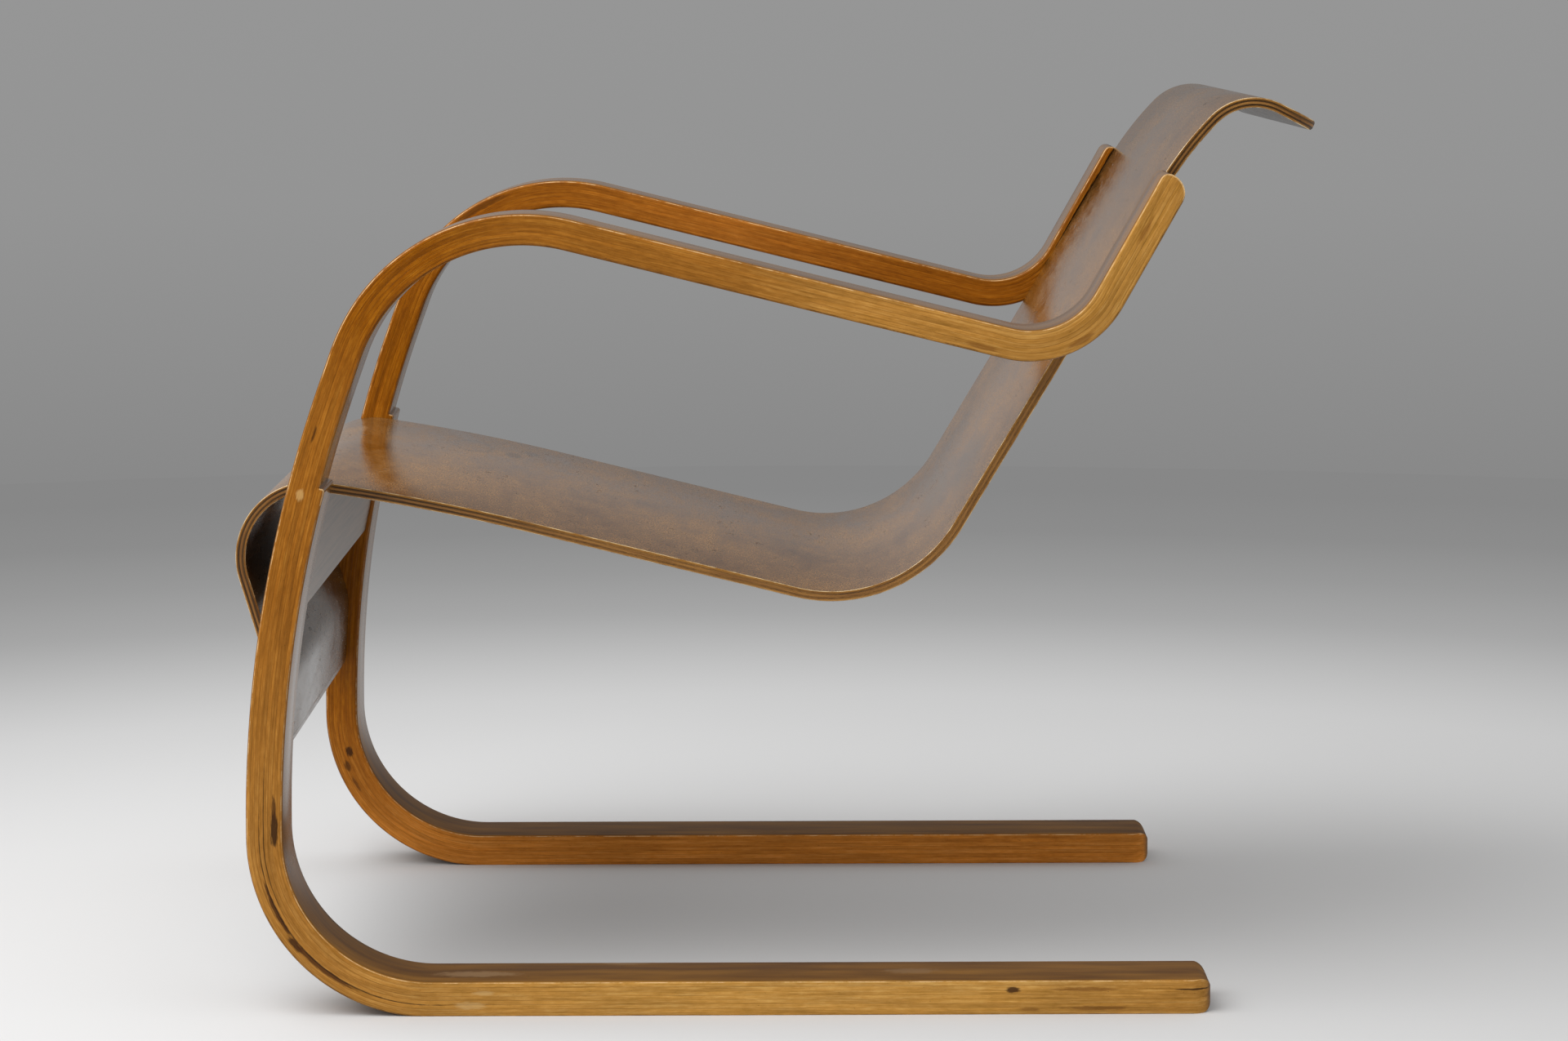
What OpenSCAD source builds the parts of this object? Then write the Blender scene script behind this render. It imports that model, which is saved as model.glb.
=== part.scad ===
// Cantilever lounge chair: two laminated birch side frames carrying a
// one-piece moulded plywood shell.
// Millimetres. X across the chair (+X is the sitter's left), -Y is the front,
// +Z is up, and the floor is Z = 0.

/* [Overall] */

// Width over the two side frames
overall_width = 600; // [540:1:680]

/* [Side frames] */

// Width of each frame bar, across the chair
bar_width = 62; // [50:1:75]
// Thickness of one long lamination
lamination_t = 3.2; // [2.8:0.1:3.8]
// Thickness of the extra inner lamination on the base and lower leg
inner_lamination_t = 4.1; // [3:0.1:5]
// Wood planed off the sole so that it stands flat
sole_trim = 1.2; // [0.4:0.1:2]
// Flat eased along the long edges of each bar
arris = 1.4; // [0.6:0.1:1.8]
// Straight part of the base
base_length = 564; // [500:0.5:620]
// Radius of the bend from base to leg, at the outer face
foot_bend_r = 132; // [100:1:160]
// Radius of the slow curve up the leg, at the outer face
leg_curve_r = 960; // [800:10:1200]
// Backward lean of the leg at its top, in degrees
leg_lean = 20; // [15:0.5:24]
// How far up the leg curve the inner lamination ends, in degrees
inner_lamination_angle = 15.7; // [13:0.1:16]
// Short straight above the leg curve
leg_top_length = 26.2; // [10:0.2:60]
// Radius of the bend from leg to arm, at the outer face
shoulder_r = 145; // [110:1:180]
// Backward fall of the arm, in degrees
arm_slope = 14; // [10:0.5:18]
// Radius of the bend from arm to upturned tail, at the upper face
elbow_r = 53; // [40:1:75]
// Angle of the upturned tail above the floor, in degrees
tail_rake_angle = 60.6; // [55:0.1:66]
// Straight part of the upturned tail
tail_length = 98.5; // [85:0.5:120]
// Rounding of the tail's end, front corner
tail_front_r = 7; // [4:0.5:7]
// Rounding of the tail's end, back corner
tail_back_r = 14.5; // [8:0.5:15]
// Rounding of the base's end, seen from above
base_end_r = 15; // [8:0.5:20]
// Rounding of the base's end, upper corner seen from the side
base_top_r = 9; // [3:0.5:12]
// Rounding of the base's end, sole corner seen from the side
base_sole_r = 7; // [2:0.5:9]

/* [Shell] */

// Thickness of one ply of the shell
ply_t = 1.5; // [1.2:0.05:1.8]
// Gap between the shell's edge and each side frame
side_gap = 2; // [1:0.1:4]
// Flat eased along the shell's side edges
shell_arris = 0.5; // [0.2:0.1:0.8]
// Depth of the shell tail inside the leg, from the leg's front face
tail_depth = 9.5; // [7:0.1:11]
// Height of the shell tail's lower edge above the floor
shell_end_height = 177; // [160:1:190]
// Flat part of the shell tail against the lower crossbar
shell_tail_length = 44; // [42:1:60]
// Turn between the shell tail and the scroll, in degrees
tail_turn_angle = 20.5; // [15:0.5:25]
// Radius of that turn, at the sitter's face
tail_turn_r = 55; // [45:1:70]
// Straight from the tail turn up to the scroll
scroll_rise = 73.5; // [68:0.5:85]
// Radius of the front scroll, at the sitter's face
scroll_r = 56.2; // [50:0.2:62]
// Radius of the slow curve behind the scroll, at the sitter's face
seat_front_r = 1540; // [1300:10:1900]
// Turn of that slow curve, in degrees
seat_front_angle = 5.6; // [4:0.1:7]
// Backward fall of the seat, in degrees
seat_pitch_angle = 14; // [11:0.5:17]
// Straight part of the seat
seat_length = 203.1; // [180:0.1:230]
// Radius of the bend from seat to back, at the sitter's face
seat_bend_r = 104; // [85:1:130]
// Angle of the back above the floor, in degrees
back_rake = 59.1; // [55:0.1:63]
// Straight part of the back
back_length = 287; // [265:1:310]
// Radius of the slow curve below the roll-over, at the sitter's face
upper_back_r = 254; // [200:1:320]
// Turn of that slow curve, in degrees
upper_back_angle = 13.5; // [10:0.5:17]
// Radius of the roll-over, at the sitter's face
roll_r = 44.2; // [38:0.2:52]
// Turn of the roll-over, in degrees
roll_angle = 72.5; // [60:0.5:85]
// Lip past the roll-over
lip_length = 30.2; // [27:0.1:36]
// Rounding of the lip's corners, seen square on
lip_corner_r = 24; // [12:1:26]
// Rounding of the tail's corners, seen square on
shell_tail_corner_r = 8; // [4:0.5:14]

/* [Crossbars] */

// Thickness of the three crossbars
crossbar_t = 12.5; // [12:0.5:16]
// Place of the upper front crossbar's middle on the leg curve, in degrees
upper_bar_angle = 12; // [11.5:0.1:12.5]
// Depth of the upper front crossbar below that place
upper_bar_below = 39; // [36:0.5:45]
// How far the upper crossbar's back face sits inside the leg's back face
upper_bar_recess = 3; // [1:0.1:6]
// Relief under the shell at the upper crossbar's back edge
upper_bar_relief = 4; // [2:0.5:6]
// Height of the lower front crossbar, along the shell tail
lower_bar_h = 38; // [32:1:40]
// Height of the back crossrail, along the back
back_rail_h = 64; // [50:1:70]
// Distance of the back crossrail's top edge below the end of the straight back
back_rail_drop = 8; // [4:1:16]
// How far the shell's face sits behind the front face of the arm tail
back_inset = 5.6; // [2:0.1:7]

/* [Fixings] */

// Diameter of the dowels in the crossbars' ends
dowel_d = 6; // [5:0.5:7]
// Length of each dowel
dowel_length = 36; // [28:1:44]
// Glue space round each dowel
dowel_gap = 0.05; // [0:0.01:0.1]
// Diameter of the screws into the shell
screw_d = 3.5; // [3:0.1:4]
// Diameter of the screw heads
screw_head_d = 7; // [6:0.1:8]
// Solid ply left between a screw's tip and the far face of the shell
screw_cover = 1.7; // [1.5:0.1:2.5]

/* [Hidden] */

// "all" draws the assembly; the name of a node draws that node

$fn = 96;
laminations = 7;
plies = 5;
screws = 4;

main_t = laminations * lamination_t;
leg_t = main_t + inner_lamination_t;
step_bevel = inner_lamination_t / 2;
shell_t = plies * ply_t;
frame_x = (overall_width - bar_width) / 2;
inner_half = overall_width / 2 - bar_width;
shell_half = inner_half - side_gap;
waste_l = bar_width + 40;
// A bend is laid in flats that stay this close to the true curve
flat_sag = 0.08;
// and that turn by no more than this, in degrees
flat_angle = 5;

// A path is a list of [length, 0] straights and [radius, turn] bends. A bend's
// radius belongs to the face the path follows, and a positive turn is
// clockwise. A pose is [along, up, heading] in the side view, heading 0 being
// straight back and heading 90 straight up.
function straight_on(p, l) =
    [p[0] + l * cos(p[2]), p[1] + l * sin(p[2]), p[2]];
function turned(p, r, t) =
    let (side = sign(t), h = p[2] - t)
    [p[0] + side * r * (sin(p[2]) - sin(h)),
     p[1] - side * r * (cos(p[2]) - cos(h)), h];
function next_pose(p, s) =
    s[1] == 0 ? straight_on(p, s[0]) : turned(p, s[0], s[1]);
function end_pose(path, p, i = 0) =
    i == len(path) ? p : end_pose(path, next_pose(p, path[i]), i + 1);
// A pose moved to its own right by d
function shifted(p, d) = [p[0] + d * sin(p[2]), p[1] - d * cos(p[2]), p[2]];

// The frame, followed on its outer face from the back end of the base
frame_start = [0, -sole_trim, 180];
base_path = [[base_length, 0], [foot_bend_r, 90]];
leg_foot = end_pose(base_path, frame_start);
leg_path = [
    [leg_curve_r, leg_lean],
    [leg_top_length, 0],
    [shoulder_r, 90 - leg_lean + arm_slope]
];
arm_start = end_pose(leg_path, leg_foot);
elbow_angle = arm_slope + tail_rake_angle;

// The shell, followed on the sitter's face from its tail upwards. The tail
// lies inside the leg and leans as the leg leans there.
shell_tail_middle = shell_end_height + shell_tail_length / 2;
shell_tail_lean = asin((shell_tail_middle - leg_foot[1]) / leg_curve_r);
shell_start = straight_on(
    shifted(turned(leg_foot, leg_curve_r, shell_tail_lean), tail_depth),
    -shell_tail_length / 2);
scroll_angle = 90 - shell_tail_lean + tail_turn_angle + seat_pitch_angle - seat_front_angle;
shell_rise_path = [
    [shell_tail_length, 0],
    [tail_turn_r, -tail_turn_angle],
    [scroll_rise, 0]
];
scroll_path = [
    [scroll_r, scroll_angle],
    [seat_front_r, seat_front_angle],
    [seat_length, 0]
];
seat_bend_path = [[seat_bend_r, -(seat_pitch_angle + back_rake)]];
back_path = [
    [back_length, 0],
    [upper_back_r, upper_back_angle],
    [roll_r, roll_angle],
    [lip_length, 0]
];
shell_path = concat(shell_rise_path, scroll_path, seat_bend_path, back_path);
scroll_start = end_pose(shell_rise_path, shell_start);
back_start = end_pose(concat(scroll_path, seat_bend_path), scroll_start);
shell_end = end_pose(shell_path, shell_start);

// The arm is as long as it must be to bring its tail beside the shell's back
tail_place = 0.45 * tail_length;
short_tail = straight_on(turned(arm_start, elbow_r, -elbow_angle), tail_place);
arm_length = ((back_start[0] - short_tail[0]) * sin(back_rake)
    - (back_start[1] - short_tail[1]) * cos(back_rake) - back_inset)
    / sin(back_rake + arm_slope);
frame_path = concat(base_path, leg_path,
    [[arm_length, 0], [elbow_r, -elbow_angle], [tail_length, 0]]);
frame_end = end_pose(frame_path, frame_start);

// The stretch under the inner lamination, and the stretch above it
frame_low_path = concat(base_path, [[leg_curve_r, inner_lamination_angle]]);
frame_step = end_pose(frame_low_path, frame_start);
frame_high_path = [
    [leg_curve_r, leg_lean - inner_lamination_angle],
    [leg_top_length, 0],
    [shoulder_r, 90 - leg_lean + arm_slope],
    [arm_length, 0],
    [elbow_r, -elbow_angle],
    [tail_length, 0]
];

// The chair is centred between the front of the scroll and the lip
nose_r = 0.47 * shell_t;
shell_end_r = 0.12 * shell_t;
scroll_front = scroll_start[0] + scroll_r * (sin(scroll_start[2]) - 1);
lip_nose = straight_on(shifted(shell_end, nose_r), -nose_r);
centre_y = -(scroll_front + lip_nose[0] + nose_r) / 2;

// Crossbar placing, each pose on the face that the crossbar is set out from
upper_bar_pose = shifted(turned(leg_foot, leg_curve_r, upper_bar_angle),
    leg_t - upper_bar_recess);
lower_bar_pose = straight_on(shell_start, (shell_tail_length - lower_bar_h) / 2);
back_rail_pose = straight_on(shifted(back_start, shell_t),
    back_length - back_rail_drop - back_rail_h);
back_rail_dowel = (main_t - back_inset - shell_t) / 2;
screw_length = crossbar_t + shell_t - screw_cover;
screw_sink = (screw_head_d - screw_d) / 2;

birch = [0.80, 0.58, 0.28];
birch_dark = [0.68, 0.46, 0.20];
face_ply = [0.52, 0.44, 0.37];
inner_ply = [0.42, 0.29, 0.16];
steel = [0.62, 0.62, 0.63];

// ---- laying out ----

// Move from the side view's plane to the chair
module upright() {
    translate([0, centre_y, 0]) rotate([90, 0, 90]) children();
}

module at(p) {
    translate([p[0], p[1], 0]) rotate([0, 0, p[2]]) children();
}

// Number of flats in one piece of a path, and the poses at their joints
function flats(s) =
    s[1] == 0 ? 1
    : ceil(abs(s[1]) / min(flat_angle, 2 * acos(1 - flat_sag / s[0])));
function joints(path, p, i = 0) =
    i == len(path) ? [p]
    : let (s = path[i], k = flats(s), middle = k > 1 ? [1 : k - 1] : [])
      concat([p], [for (j = middle) turned(p, s[0], s[1] * j / k)],
          joints(path, next_pose(p, s), i + 1));
// The point n to the right of a pose
function beside(p, n) = [p[0] + n * sin(p[2]), p[1] - n * cos(p[2])];

// One strip laid along a path from pose p: from n0 to n1 to the right of the
// path and w wide, with its long edges at n0 eased by e0 and those at n1 by e1
module strip(path, p, n0, n1, w, e0 = 0, e1 = 0) {
    js = joints(path, p);
    if (e0 + e1 == 0)
        linear_extrude(height = w, center = true)
            polygon(concat([for (j = js) beside(j, n0)],
                [for (i = [len(js) - 1 : -1 : 0]) beside(js[i], n1)]));
    else
        swept(js, concat(
            e0 == 0 ? [[n0, -w / 2]] : [[n0 + e0, -w / 2], [n0, e0 - w / 2]],
            e0 == 0 ? [[n0, w / 2]] : [[n0, w / 2 - e0], [n0 + e0, w / 2]],
            e1 == 0 ? [[n1, w / 2]] : [[n1 - e1, w / 2], [n1, w / 2 - e1]],
            e1 == 0 ? [[n1, -w / 2]] : [[n1, e1 - w / 2], [n1 - e1, -w / 2]]));
}

// A profile of [right, across] points swept through poses
module swept(js, profile) {
    k = len(profile);
    last = len(js) - 1;
    points = [for (j = js, q = profile) concat(beside(j, q[0]), q[1])];
    sides = [for (i = [0 : last - 1], q = [0 : k - 1])
        [i * k + q, i * k + (q + 1) % k, (i + 1) * k + (q + 1) % k, (i + 1) * k + q]];
    ends = [[for (q = [k - 1 : -1 : 0]) q], [for (q = [0 : k - 1]) last * k + q]];
    polyhedron(points = points, faces = concat(sides, ends));
}

// Waste outside a quarter round: corner at the origin, wood towards -x and -y
module corner_waste(r, h) {
    translate([-r, -r, -h / 2]) linear_extrude(height = h)
        difference() {
            square([r + 3, r + 3]);
            circle(r = r);
        }
}

// The same two roundings at both sides of a strip's end, the strip w wide
module end_corners(r, w, h) {
    for (s = [-1, 1])
        translate([0, 0, s * w / 2]) rotate([s * 90, 0, 0]) corner_waste(r, h);
}

// ---- fixings ----

// Dowels at both ends of a crossbar, at the given places along its height and
// the given depth from its pose
module dowel_set(p, places, depth, gap = 0) {
    at(p) for (a = places, s = [-1, 1])
        translate([a, depth, s * inner_half])
            cylinder(d = dowel_d + 2 * gap, h = dowel_length + 2 * gap, center = true);
}

module upper_dowels(gap = 0) {
    dowel_set(upper_bar_pose, [-0.6 * upper_bar_below, upper_bar_below / 3],
        crossbar_t / 2, gap);
}

module lower_dowels(gap = 0) {
    dowel_set(lower_bar_pose, [lower_bar_h / 4, lower_bar_h * 3 / 4],
        tail_depth / 2, gap);
}

module rail_dowels(gap = 0) {
    dowel_set(back_rail_pose, [back_rail_h / 5, back_rail_h * 4 / 5],
        -back_rail_dowel, gap);
}

// Countersunk screw pointing down -z, its head flush with z = 0
module screw(slot = true) {
    difference() {
        union() {
            translate([0, 0, -screw_sink])
                cylinder(d1 = screw_d, d2 = screw_head_d, h = screw_sink, $fn = 48);
            translate([0, 0, -screw_length + screw_d / 2])
                cylinder(d = screw_d, h = screw_length - screw_d / 2 - 0.1, $fn = 48);
            translate([0, 0, -screw_length])
                cylinder(d1 = screw_d / 3, d2 = screw_d, h = screw_d / 2, $fn = 48);
        }
        if (slot)
            cube([screw_head_d + 1, screw_head_d / 7, screw_sink], center = true);
    }
}

// A row of screws through a crossbar of height h; side is 1 when they enter
// from the front and -1 when they enter from the back
module screw_row(p, h, side, slot = true) {
    at(p) for (k = [0 : screws - 1])
        translate([h / 2, side * crossbar_t,
            shell_half * 0.8 * (2 * k / (screws - 1) - 1)])
            rotate([side * -90, 0, 0]) screw(slot);
}

module tail_screws(slot = true) {
    screw_row(lower_bar_pose, lower_bar_h, 1, slot);
}

module rail_screws(slot = true) {
    screw_row(back_rail_pose, back_rail_h, -1, slot);
}

// ---- side frames ----

// Waste taken off the sole and the two ends of a bar
module frame_waste() {
    translate([-base_length, -15, 0])
        cube([3 * base_length, 30, waste_l], center = true);
    translate([0, leg_t - sole_trim, 0]) corner_waste(base_top_r, waste_l);
    mirror([0, 1, 0]) corner_waste(base_sole_r, waste_l);
    translate([0, leg_t / 2, 0]) end_corners(base_end_r, bar_width, 3 * leg_t);
    at(frame_end) {
        corner_waste(tail_front_r, waste_l);
        translate([0, -main_t, 0]) mirror([0, 1, 0])
            corner_waste(min(tail_back_r, main_t - tail_front_r), waste_l);
    }
}

// One strip of a frame's stack; side is 1 for the sitter's left
module finished_strip(side) {
    upright() difference() {
        translate([0, 0, side * frame_x]) difference() {
            children();
            frame_waste();
        }
        upper_dowels(dowel_gap);
        lower_dowels(dowel_gap);
        rail_dowels(dowel_gap);
    }
}

// Long lamination k, counted from the outer face. The innermost one has its
// edges eased only above the inner lamination.
module lamination(k, side) {
    n0 = (k - 1) * lamination_t;
    color(k % 2 == 0 ? birch_dark : birch) finished_strip(side) difference() {
        strip(frame_path, frame_start, n0, n0 + lamination_t, bar_width,
            k == 1 ? arris : 0);
        if (k == laminations)
            for (s = [0, 1]) mirror([0, 0, s]) arris_waste();
    }
}

// Waste taken off one long edge of the innermost lamination
module arris_waste() {
    swept(joints(frame_high_path, frame_step), [
        [main_t - arris, bar_width / 2],
        [main_t, bar_width / 2 - arris],
        [main_t + 1, bar_width / 2 - arris],
        [main_t + 1, bar_width / 2 + 1],
        [main_t - arris, bar_width / 2 + 1]
    ]);
}

// The extra lamination along the base and up the lower leg
module inner_lamination(side) {
    color(birch) finished_strip(side) difference() {
        strip(frame_low_path, frame_start, main_t, leg_t, bar_width, 0, arris);
        at(frame_step) translate([0, -leg_t, -waste_l / 2])
            linear_extrude(height = waste_l)
                polygon([[-step_bevel - 1, -1], [1, -1], [1, step_bevel + 1]]);
    }
}

module left_frame_lamination_1() { lamination(1, 1); }
module left_frame_lamination_2() { lamination(2, 1); }
module left_frame_lamination_3() { lamination(3, 1); }
module left_frame_lamination_4() { lamination(4, 1); }
module left_frame_lamination_5() { lamination(5, 1); }
module left_frame_lamination_6() { lamination(6, 1); }
module left_frame_lamination_7() { lamination(7, 1); }
module left_frame_inner_lamination() { inner_lamination(1); }
module right_frame_lamination_1() { lamination(1, -1); }
module right_frame_lamination_2() { lamination(2, -1); }
module right_frame_lamination_3() { lamination(3, -1); }
module right_frame_lamination_4() { lamination(4, -1); }
module right_frame_lamination_5() { lamination(5, -1); }
module right_frame_lamination_6() { lamination(6, -1); }
module right_frame_lamination_7() { lamination(7, -1); }
module right_frame_inner_lamination() { inner_lamination(-1); }

// ---- shell ----

// Waste taken off the two ends of the shell
module shell_waste() {
    at(shell_end) {
        corner_waste(nose_r, 3 * shell_half);
        translate([0, -shell_t, 0]) mirror([0, 1, 0])
            corner_waste(nose_r, 3 * shell_half);
        end_corners(lip_corner_r, 2 * shell_half, 4 * shell_t);
    }
    at(shell_start) mirror([1, 0, 0]) {
        corner_waste(shell_end_r, 3 * shell_half);
        translate([0, -shell_t, 0]) mirror([0, 1, 0])
            corner_waste(shell_end_r, 3 * shell_half);
        end_corners(shell_tail_corner_r, 2 * shell_half, 4 * shell_t);
    }
}

// Ply k of the shell, counted from the sitter's face
module ply(k) {
    color(k % 2 == 0 ? inner_ply : face_ply) upright() difference() {
        strip(shell_path, shell_start, (k - 1) * ply_t, k * ply_t,
            2 * shell_half, k == 1 ? shell_arris : 0, k == plies ? shell_arris : 0);
        shell_waste();
        tail_screws(false);
        rail_screws(false);
    }
}

module shell_face_ply() { ply(1); }
module shell_front_cross_ply() { ply(2); }
module shell_core_ply() { ply(3); }
module shell_back_cross_ply() { ply(4); }
module shell_back_ply() { ply(5); }

// ---- crossbars ----

// A board from a0 to a1 up its pose and from b0 to b1 in front of it
module board(p, a0, a1, b0, b1) {
    at(p) translate([a0, b0, -inner_half])
        cube([a1 - a0, b1 - b0, 2 * inner_half]);
}

// Its top edge is cut to the underside of the seat
module upper_front_crossbar() {
    color(birch) upright() difference() {
        board(upper_bar_pose, -upper_bar_below, 70, 0, crossbar_t);
        strip(scroll_path, scroll_start, -70, shell_t, 3 * inner_half);
        intersection() {
            strip(scroll_path, scroll_start, 0, shell_t + upper_bar_relief,
                3 * inner_half);
            board(upper_bar_pose, 0, 80, -1, crossbar_t * 0.45);
        }
        upper_dowels(dowel_gap);
    }
}

module lower_front_crossbar() {
    color(birch) upright() difference() {
        board(lower_bar_pose, 0, lower_bar_h, 0, crossbar_t);
        lower_dowels(dowel_gap);
        tail_screws(false);
    }
}

module back_crossrail() {
    color(birch) upright() difference() {
        board(back_rail_pose, 0, back_rail_h, -crossbar_t, 0);
        rail_dowels(dowel_gap);
        rail_screws(false);
    }
}

module upper_crossbar_dowels() { color(birch_dark) upright() upper_dowels(); }
module lower_crossbar_dowels() { color(birch_dark) upright() lower_dowels(); }
module back_crossrail_dowels() { color(birch_dark) upright() rail_dowels(); }
module lower_crossbar_screws() { color(steel) upright() tail_screws(); }
module back_crossrail_screws() { color(steel) upright() rail_screws(); }

// ---- the chair ----

left_frame_lamination_1();
left_frame_lamination_2();
left_frame_lamination_3();
left_frame_lamination_4();
left_frame_lamination_5();
left_frame_lamination_6();
left_frame_lamination_7();
left_frame_inner_lamination();
right_frame_lamination_1();
right_frame_lamination_2();
right_frame_lamination_3();
right_frame_lamination_4();
right_frame_lamination_5();
right_frame_lamination_6();
right_frame_lamination_7();
right_frame_inner_lamination();
shell_face_ply();
shell_front_cross_ply();
shell_core_ply();
shell_back_cross_ply();
shell_back_ply();
upper_front_crossbar();
lower_front_crossbar();
back_crossrail();
upper_crossbar_dowels();
lower_crossbar_dowels();
back_crossrail_dowels();
lower_crossbar_screws();
back_crossrail_screws();
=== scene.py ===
"""Cantilever lounge chair: the looks of its two laminated side frames, its
moulded plywood shell, and the crossbars and fixings that join them.

Metres. X across the chair (+X is the sitter's left), -Y the front, +Z up, the
floor at Z = 0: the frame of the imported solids. Sizes below are in millimetres.
"""

import sys
import logging
import math
from dataclasses import asdict, dataclass, fields, replace
from enum import Enum
from typing import Any, ClassVar

import bmesh
import bpy
import numpy as np
from mathutils import Matrix, Vector


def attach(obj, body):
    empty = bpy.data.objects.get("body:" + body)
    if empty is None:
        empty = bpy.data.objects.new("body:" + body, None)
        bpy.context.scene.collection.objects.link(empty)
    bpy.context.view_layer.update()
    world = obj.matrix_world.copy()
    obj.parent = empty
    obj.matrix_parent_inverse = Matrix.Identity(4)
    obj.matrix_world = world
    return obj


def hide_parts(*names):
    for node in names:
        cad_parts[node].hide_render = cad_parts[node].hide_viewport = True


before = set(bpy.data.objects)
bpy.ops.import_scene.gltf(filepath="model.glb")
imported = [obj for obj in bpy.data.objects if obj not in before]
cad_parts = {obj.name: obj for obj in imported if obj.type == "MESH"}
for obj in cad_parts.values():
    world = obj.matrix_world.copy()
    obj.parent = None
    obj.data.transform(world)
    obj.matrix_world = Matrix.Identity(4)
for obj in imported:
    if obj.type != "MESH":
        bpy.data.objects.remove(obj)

Material = bpy.types.Material
Span = tuple[float, float]
Triple = tuple[float, float, float]
Stops = tuple[tuple[float, str], ...]

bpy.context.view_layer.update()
MM = 0.001
PER_METRE = 1000
TWO_TONES: Span = (0.36, 0.64)  # where noise has a veneer's dark and its light tone
VARNISH_IOR = 1.5
log = logging.getLogger("lounge_chair")

# what a step of a node tree can do besides plain maths: its node, that node's
# settings, and the numbers of the inputs that its values go to
STEPS: dict[str, tuple[str, dict[str, str], tuple[int, ...]]] = {
    "MIX": ("ShaderNodeMix", {}, (0, 2, 3)),
    "BLEND": ("ShaderNodeMix", {"data_type": "RGBA"}, (0, 6, 7)),
    "OVER": ("ShaderNodeMixShader", {}, (0, 1, 2)),
    "RAMP": ("ShaderNodeValToRGB", {}, (0,)),
    "RANGE": ("ShaderNodeMapRange", {}, (0, 1, 2, 3, 4)),
    "SMOOTH": ("ShaderNodeMapRange", {"interpolation_type": "SMOOTHSTEP"}, (0, 1, 2, 3, 4)),
    "SPLIT": ("ShaderNodeSeparateXYZ", {}, (0,)),
    "JOIN": ("ShaderNodeCombineXYZ", {}, (0, 1, 2)),
    "SCALE": ("ShaderNodeVectorMath", {"operation": "SCALE"}, (0, 3)),
    "LENGTH": ("ShaderNodeVectorMath", {"operation": "LENGTH"}, (0,)),
    "MOVE": ("ShaderNodeVectorMath", {"operation": "ADD"}, (0, 1)),
    "MOVE BACK": ("ShaderNodeVectorMath", {"operation": "SUBTRACT"}, (0, 1)),
    "STRETCH": ("ShaderNodeVectorMath", {"operation": "MULTIPLY"}, (0, 1)),
    "AT LEAST": ("ShaderNodeVectorMath", {"operation": "MAXIMUM"}, (0, 1)),
}


# ---- small tools ----


def linear(code: str) -> tuple[float, float, float, float]:
    """Turn an sRGB hex colour into linear light.

    Args:
        code: six hex digits after a "#".

    Returns:
        Red, green, blue and an alpha of 1.
    """
    parts = [int(code[i : i + 2], 16) / 255 for i in (1, 3, 5)]
    light = [c / 12.92 if c <= 0.04045 else ((c + 0.055) / 1.055) ** 2.4 for c in parts]
    return (light[0], light[1], light[2], 1.0)


class Sheet:
    """A node tree whose nodes go by names.

    Where a node's input takes a name, the name's node feeds it from its first
    output in use, or from the output after a dot: "parts.X".
    """

    def __init__(self, tree: bpy.types.NodeTree) -> None:
        """Start a sheet with no nodes."""
        tree.nodes.clear()
        self.tree = tree
        self.known: dict[str, bpy.types.Node] = {}

    def add(self, name: str, kind: str, links: dict | None = None, **settings: Any) -> None:
        """Add a node with its settings, values and links.

        Args:
            name: the name that it goes by; a later node can take it over.
            kind: the node's Blender type.
            links: input name or number to a value, a hex colour or a name; an
                input called Name takes its value as it is.
            settings: the node's own properties; "stops" are a colour ramp's.
        """
        node = self.tree.nodes.new(kind)
        stops = settings.pop("stops", None)
        for label, value in settings.items():
            setattr(node, label, value)
        if stops:
            ramp = node.color_ramp
            while len(ramp.elements) < len(stops):
                ramp.elements.new(0.5)
            for element, (place, code) in zip(ramp.elements, stops):
                element.position = place
                element.color = linear(code)
        for key, value in (links or {}).items():
            if isinstance(value, str) and key != "Name":
                value = linear(value) if value.startswith("#") else self._socket(value)
            if isinstance(value, bpy.types.NodeSocket):
                self.tree.links.new(value, node.inputs[key])
            else:
                node.inputs[key].default_value = value
        self.known[name] = node

    def work_out(self, *steps: tuple) -> None:
        """Add a run of short steps.

        Args:
            steps: for each, its name, what it does (a key of STEPS or an
                operation of the Math node), its values or names in order, and
                at the end any settings.
        """
        for name, act, *values in steps:
            kind, settings, places = STEPS.get(act, ("ShaderNodeMath", {"operation": act}, (0, 1, 2)))
            more = values.pop() if isinstance(values[-1], dict) else {}
            self.add(name, kind, dict(zip(places, values)), **settings, **more)

    def _socket(self, name: str) -> bpy.types.NodeSocket:
        """The output that a name stands for."""
        name, _, output = name.partition(".")
        outputs = self.known[name].outputs
        return outputs[output] if output else next(socket for socket in outputs if socket.enabled)


def new_group(name: str, inputs: dict[str, str], output: tuple[str, str]) -> Sheet:
    """Start a geometry node group, whose inputs go by the name of size.

    Args:
        name: the group's name.
        inputs: each input's name, and its socket's kind.
        output: the output's name and its socket's kind.

    Returns:
        The group's sheet.
    """
    tree = bpy.data.node_groups.new(name, "GeometryNodeTree")
    for label, kind in inputs.items():
        tree.interface.new_socket(label, in_out="INPUT", socket_type=f"NodeSocket{kind}")
    tree.interface.new_socket(output[0], in_out="OUTPUT", socket_type=f"NodeSocket{output[1]}")
    sheet = Sheet(tree)
    sheet.add("size", "NodeGroupInput")
    return sheet


def link_object(name: str, mesh: bpy.types.Mesh) -> bpy.types.Object:
    """Put a mesh in the scene as an object at the origin."""
    piece = bpy.data.objects.new(name, mesh)
    bpy.context.scene.collection.objects.link(piece)
    return piece


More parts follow.
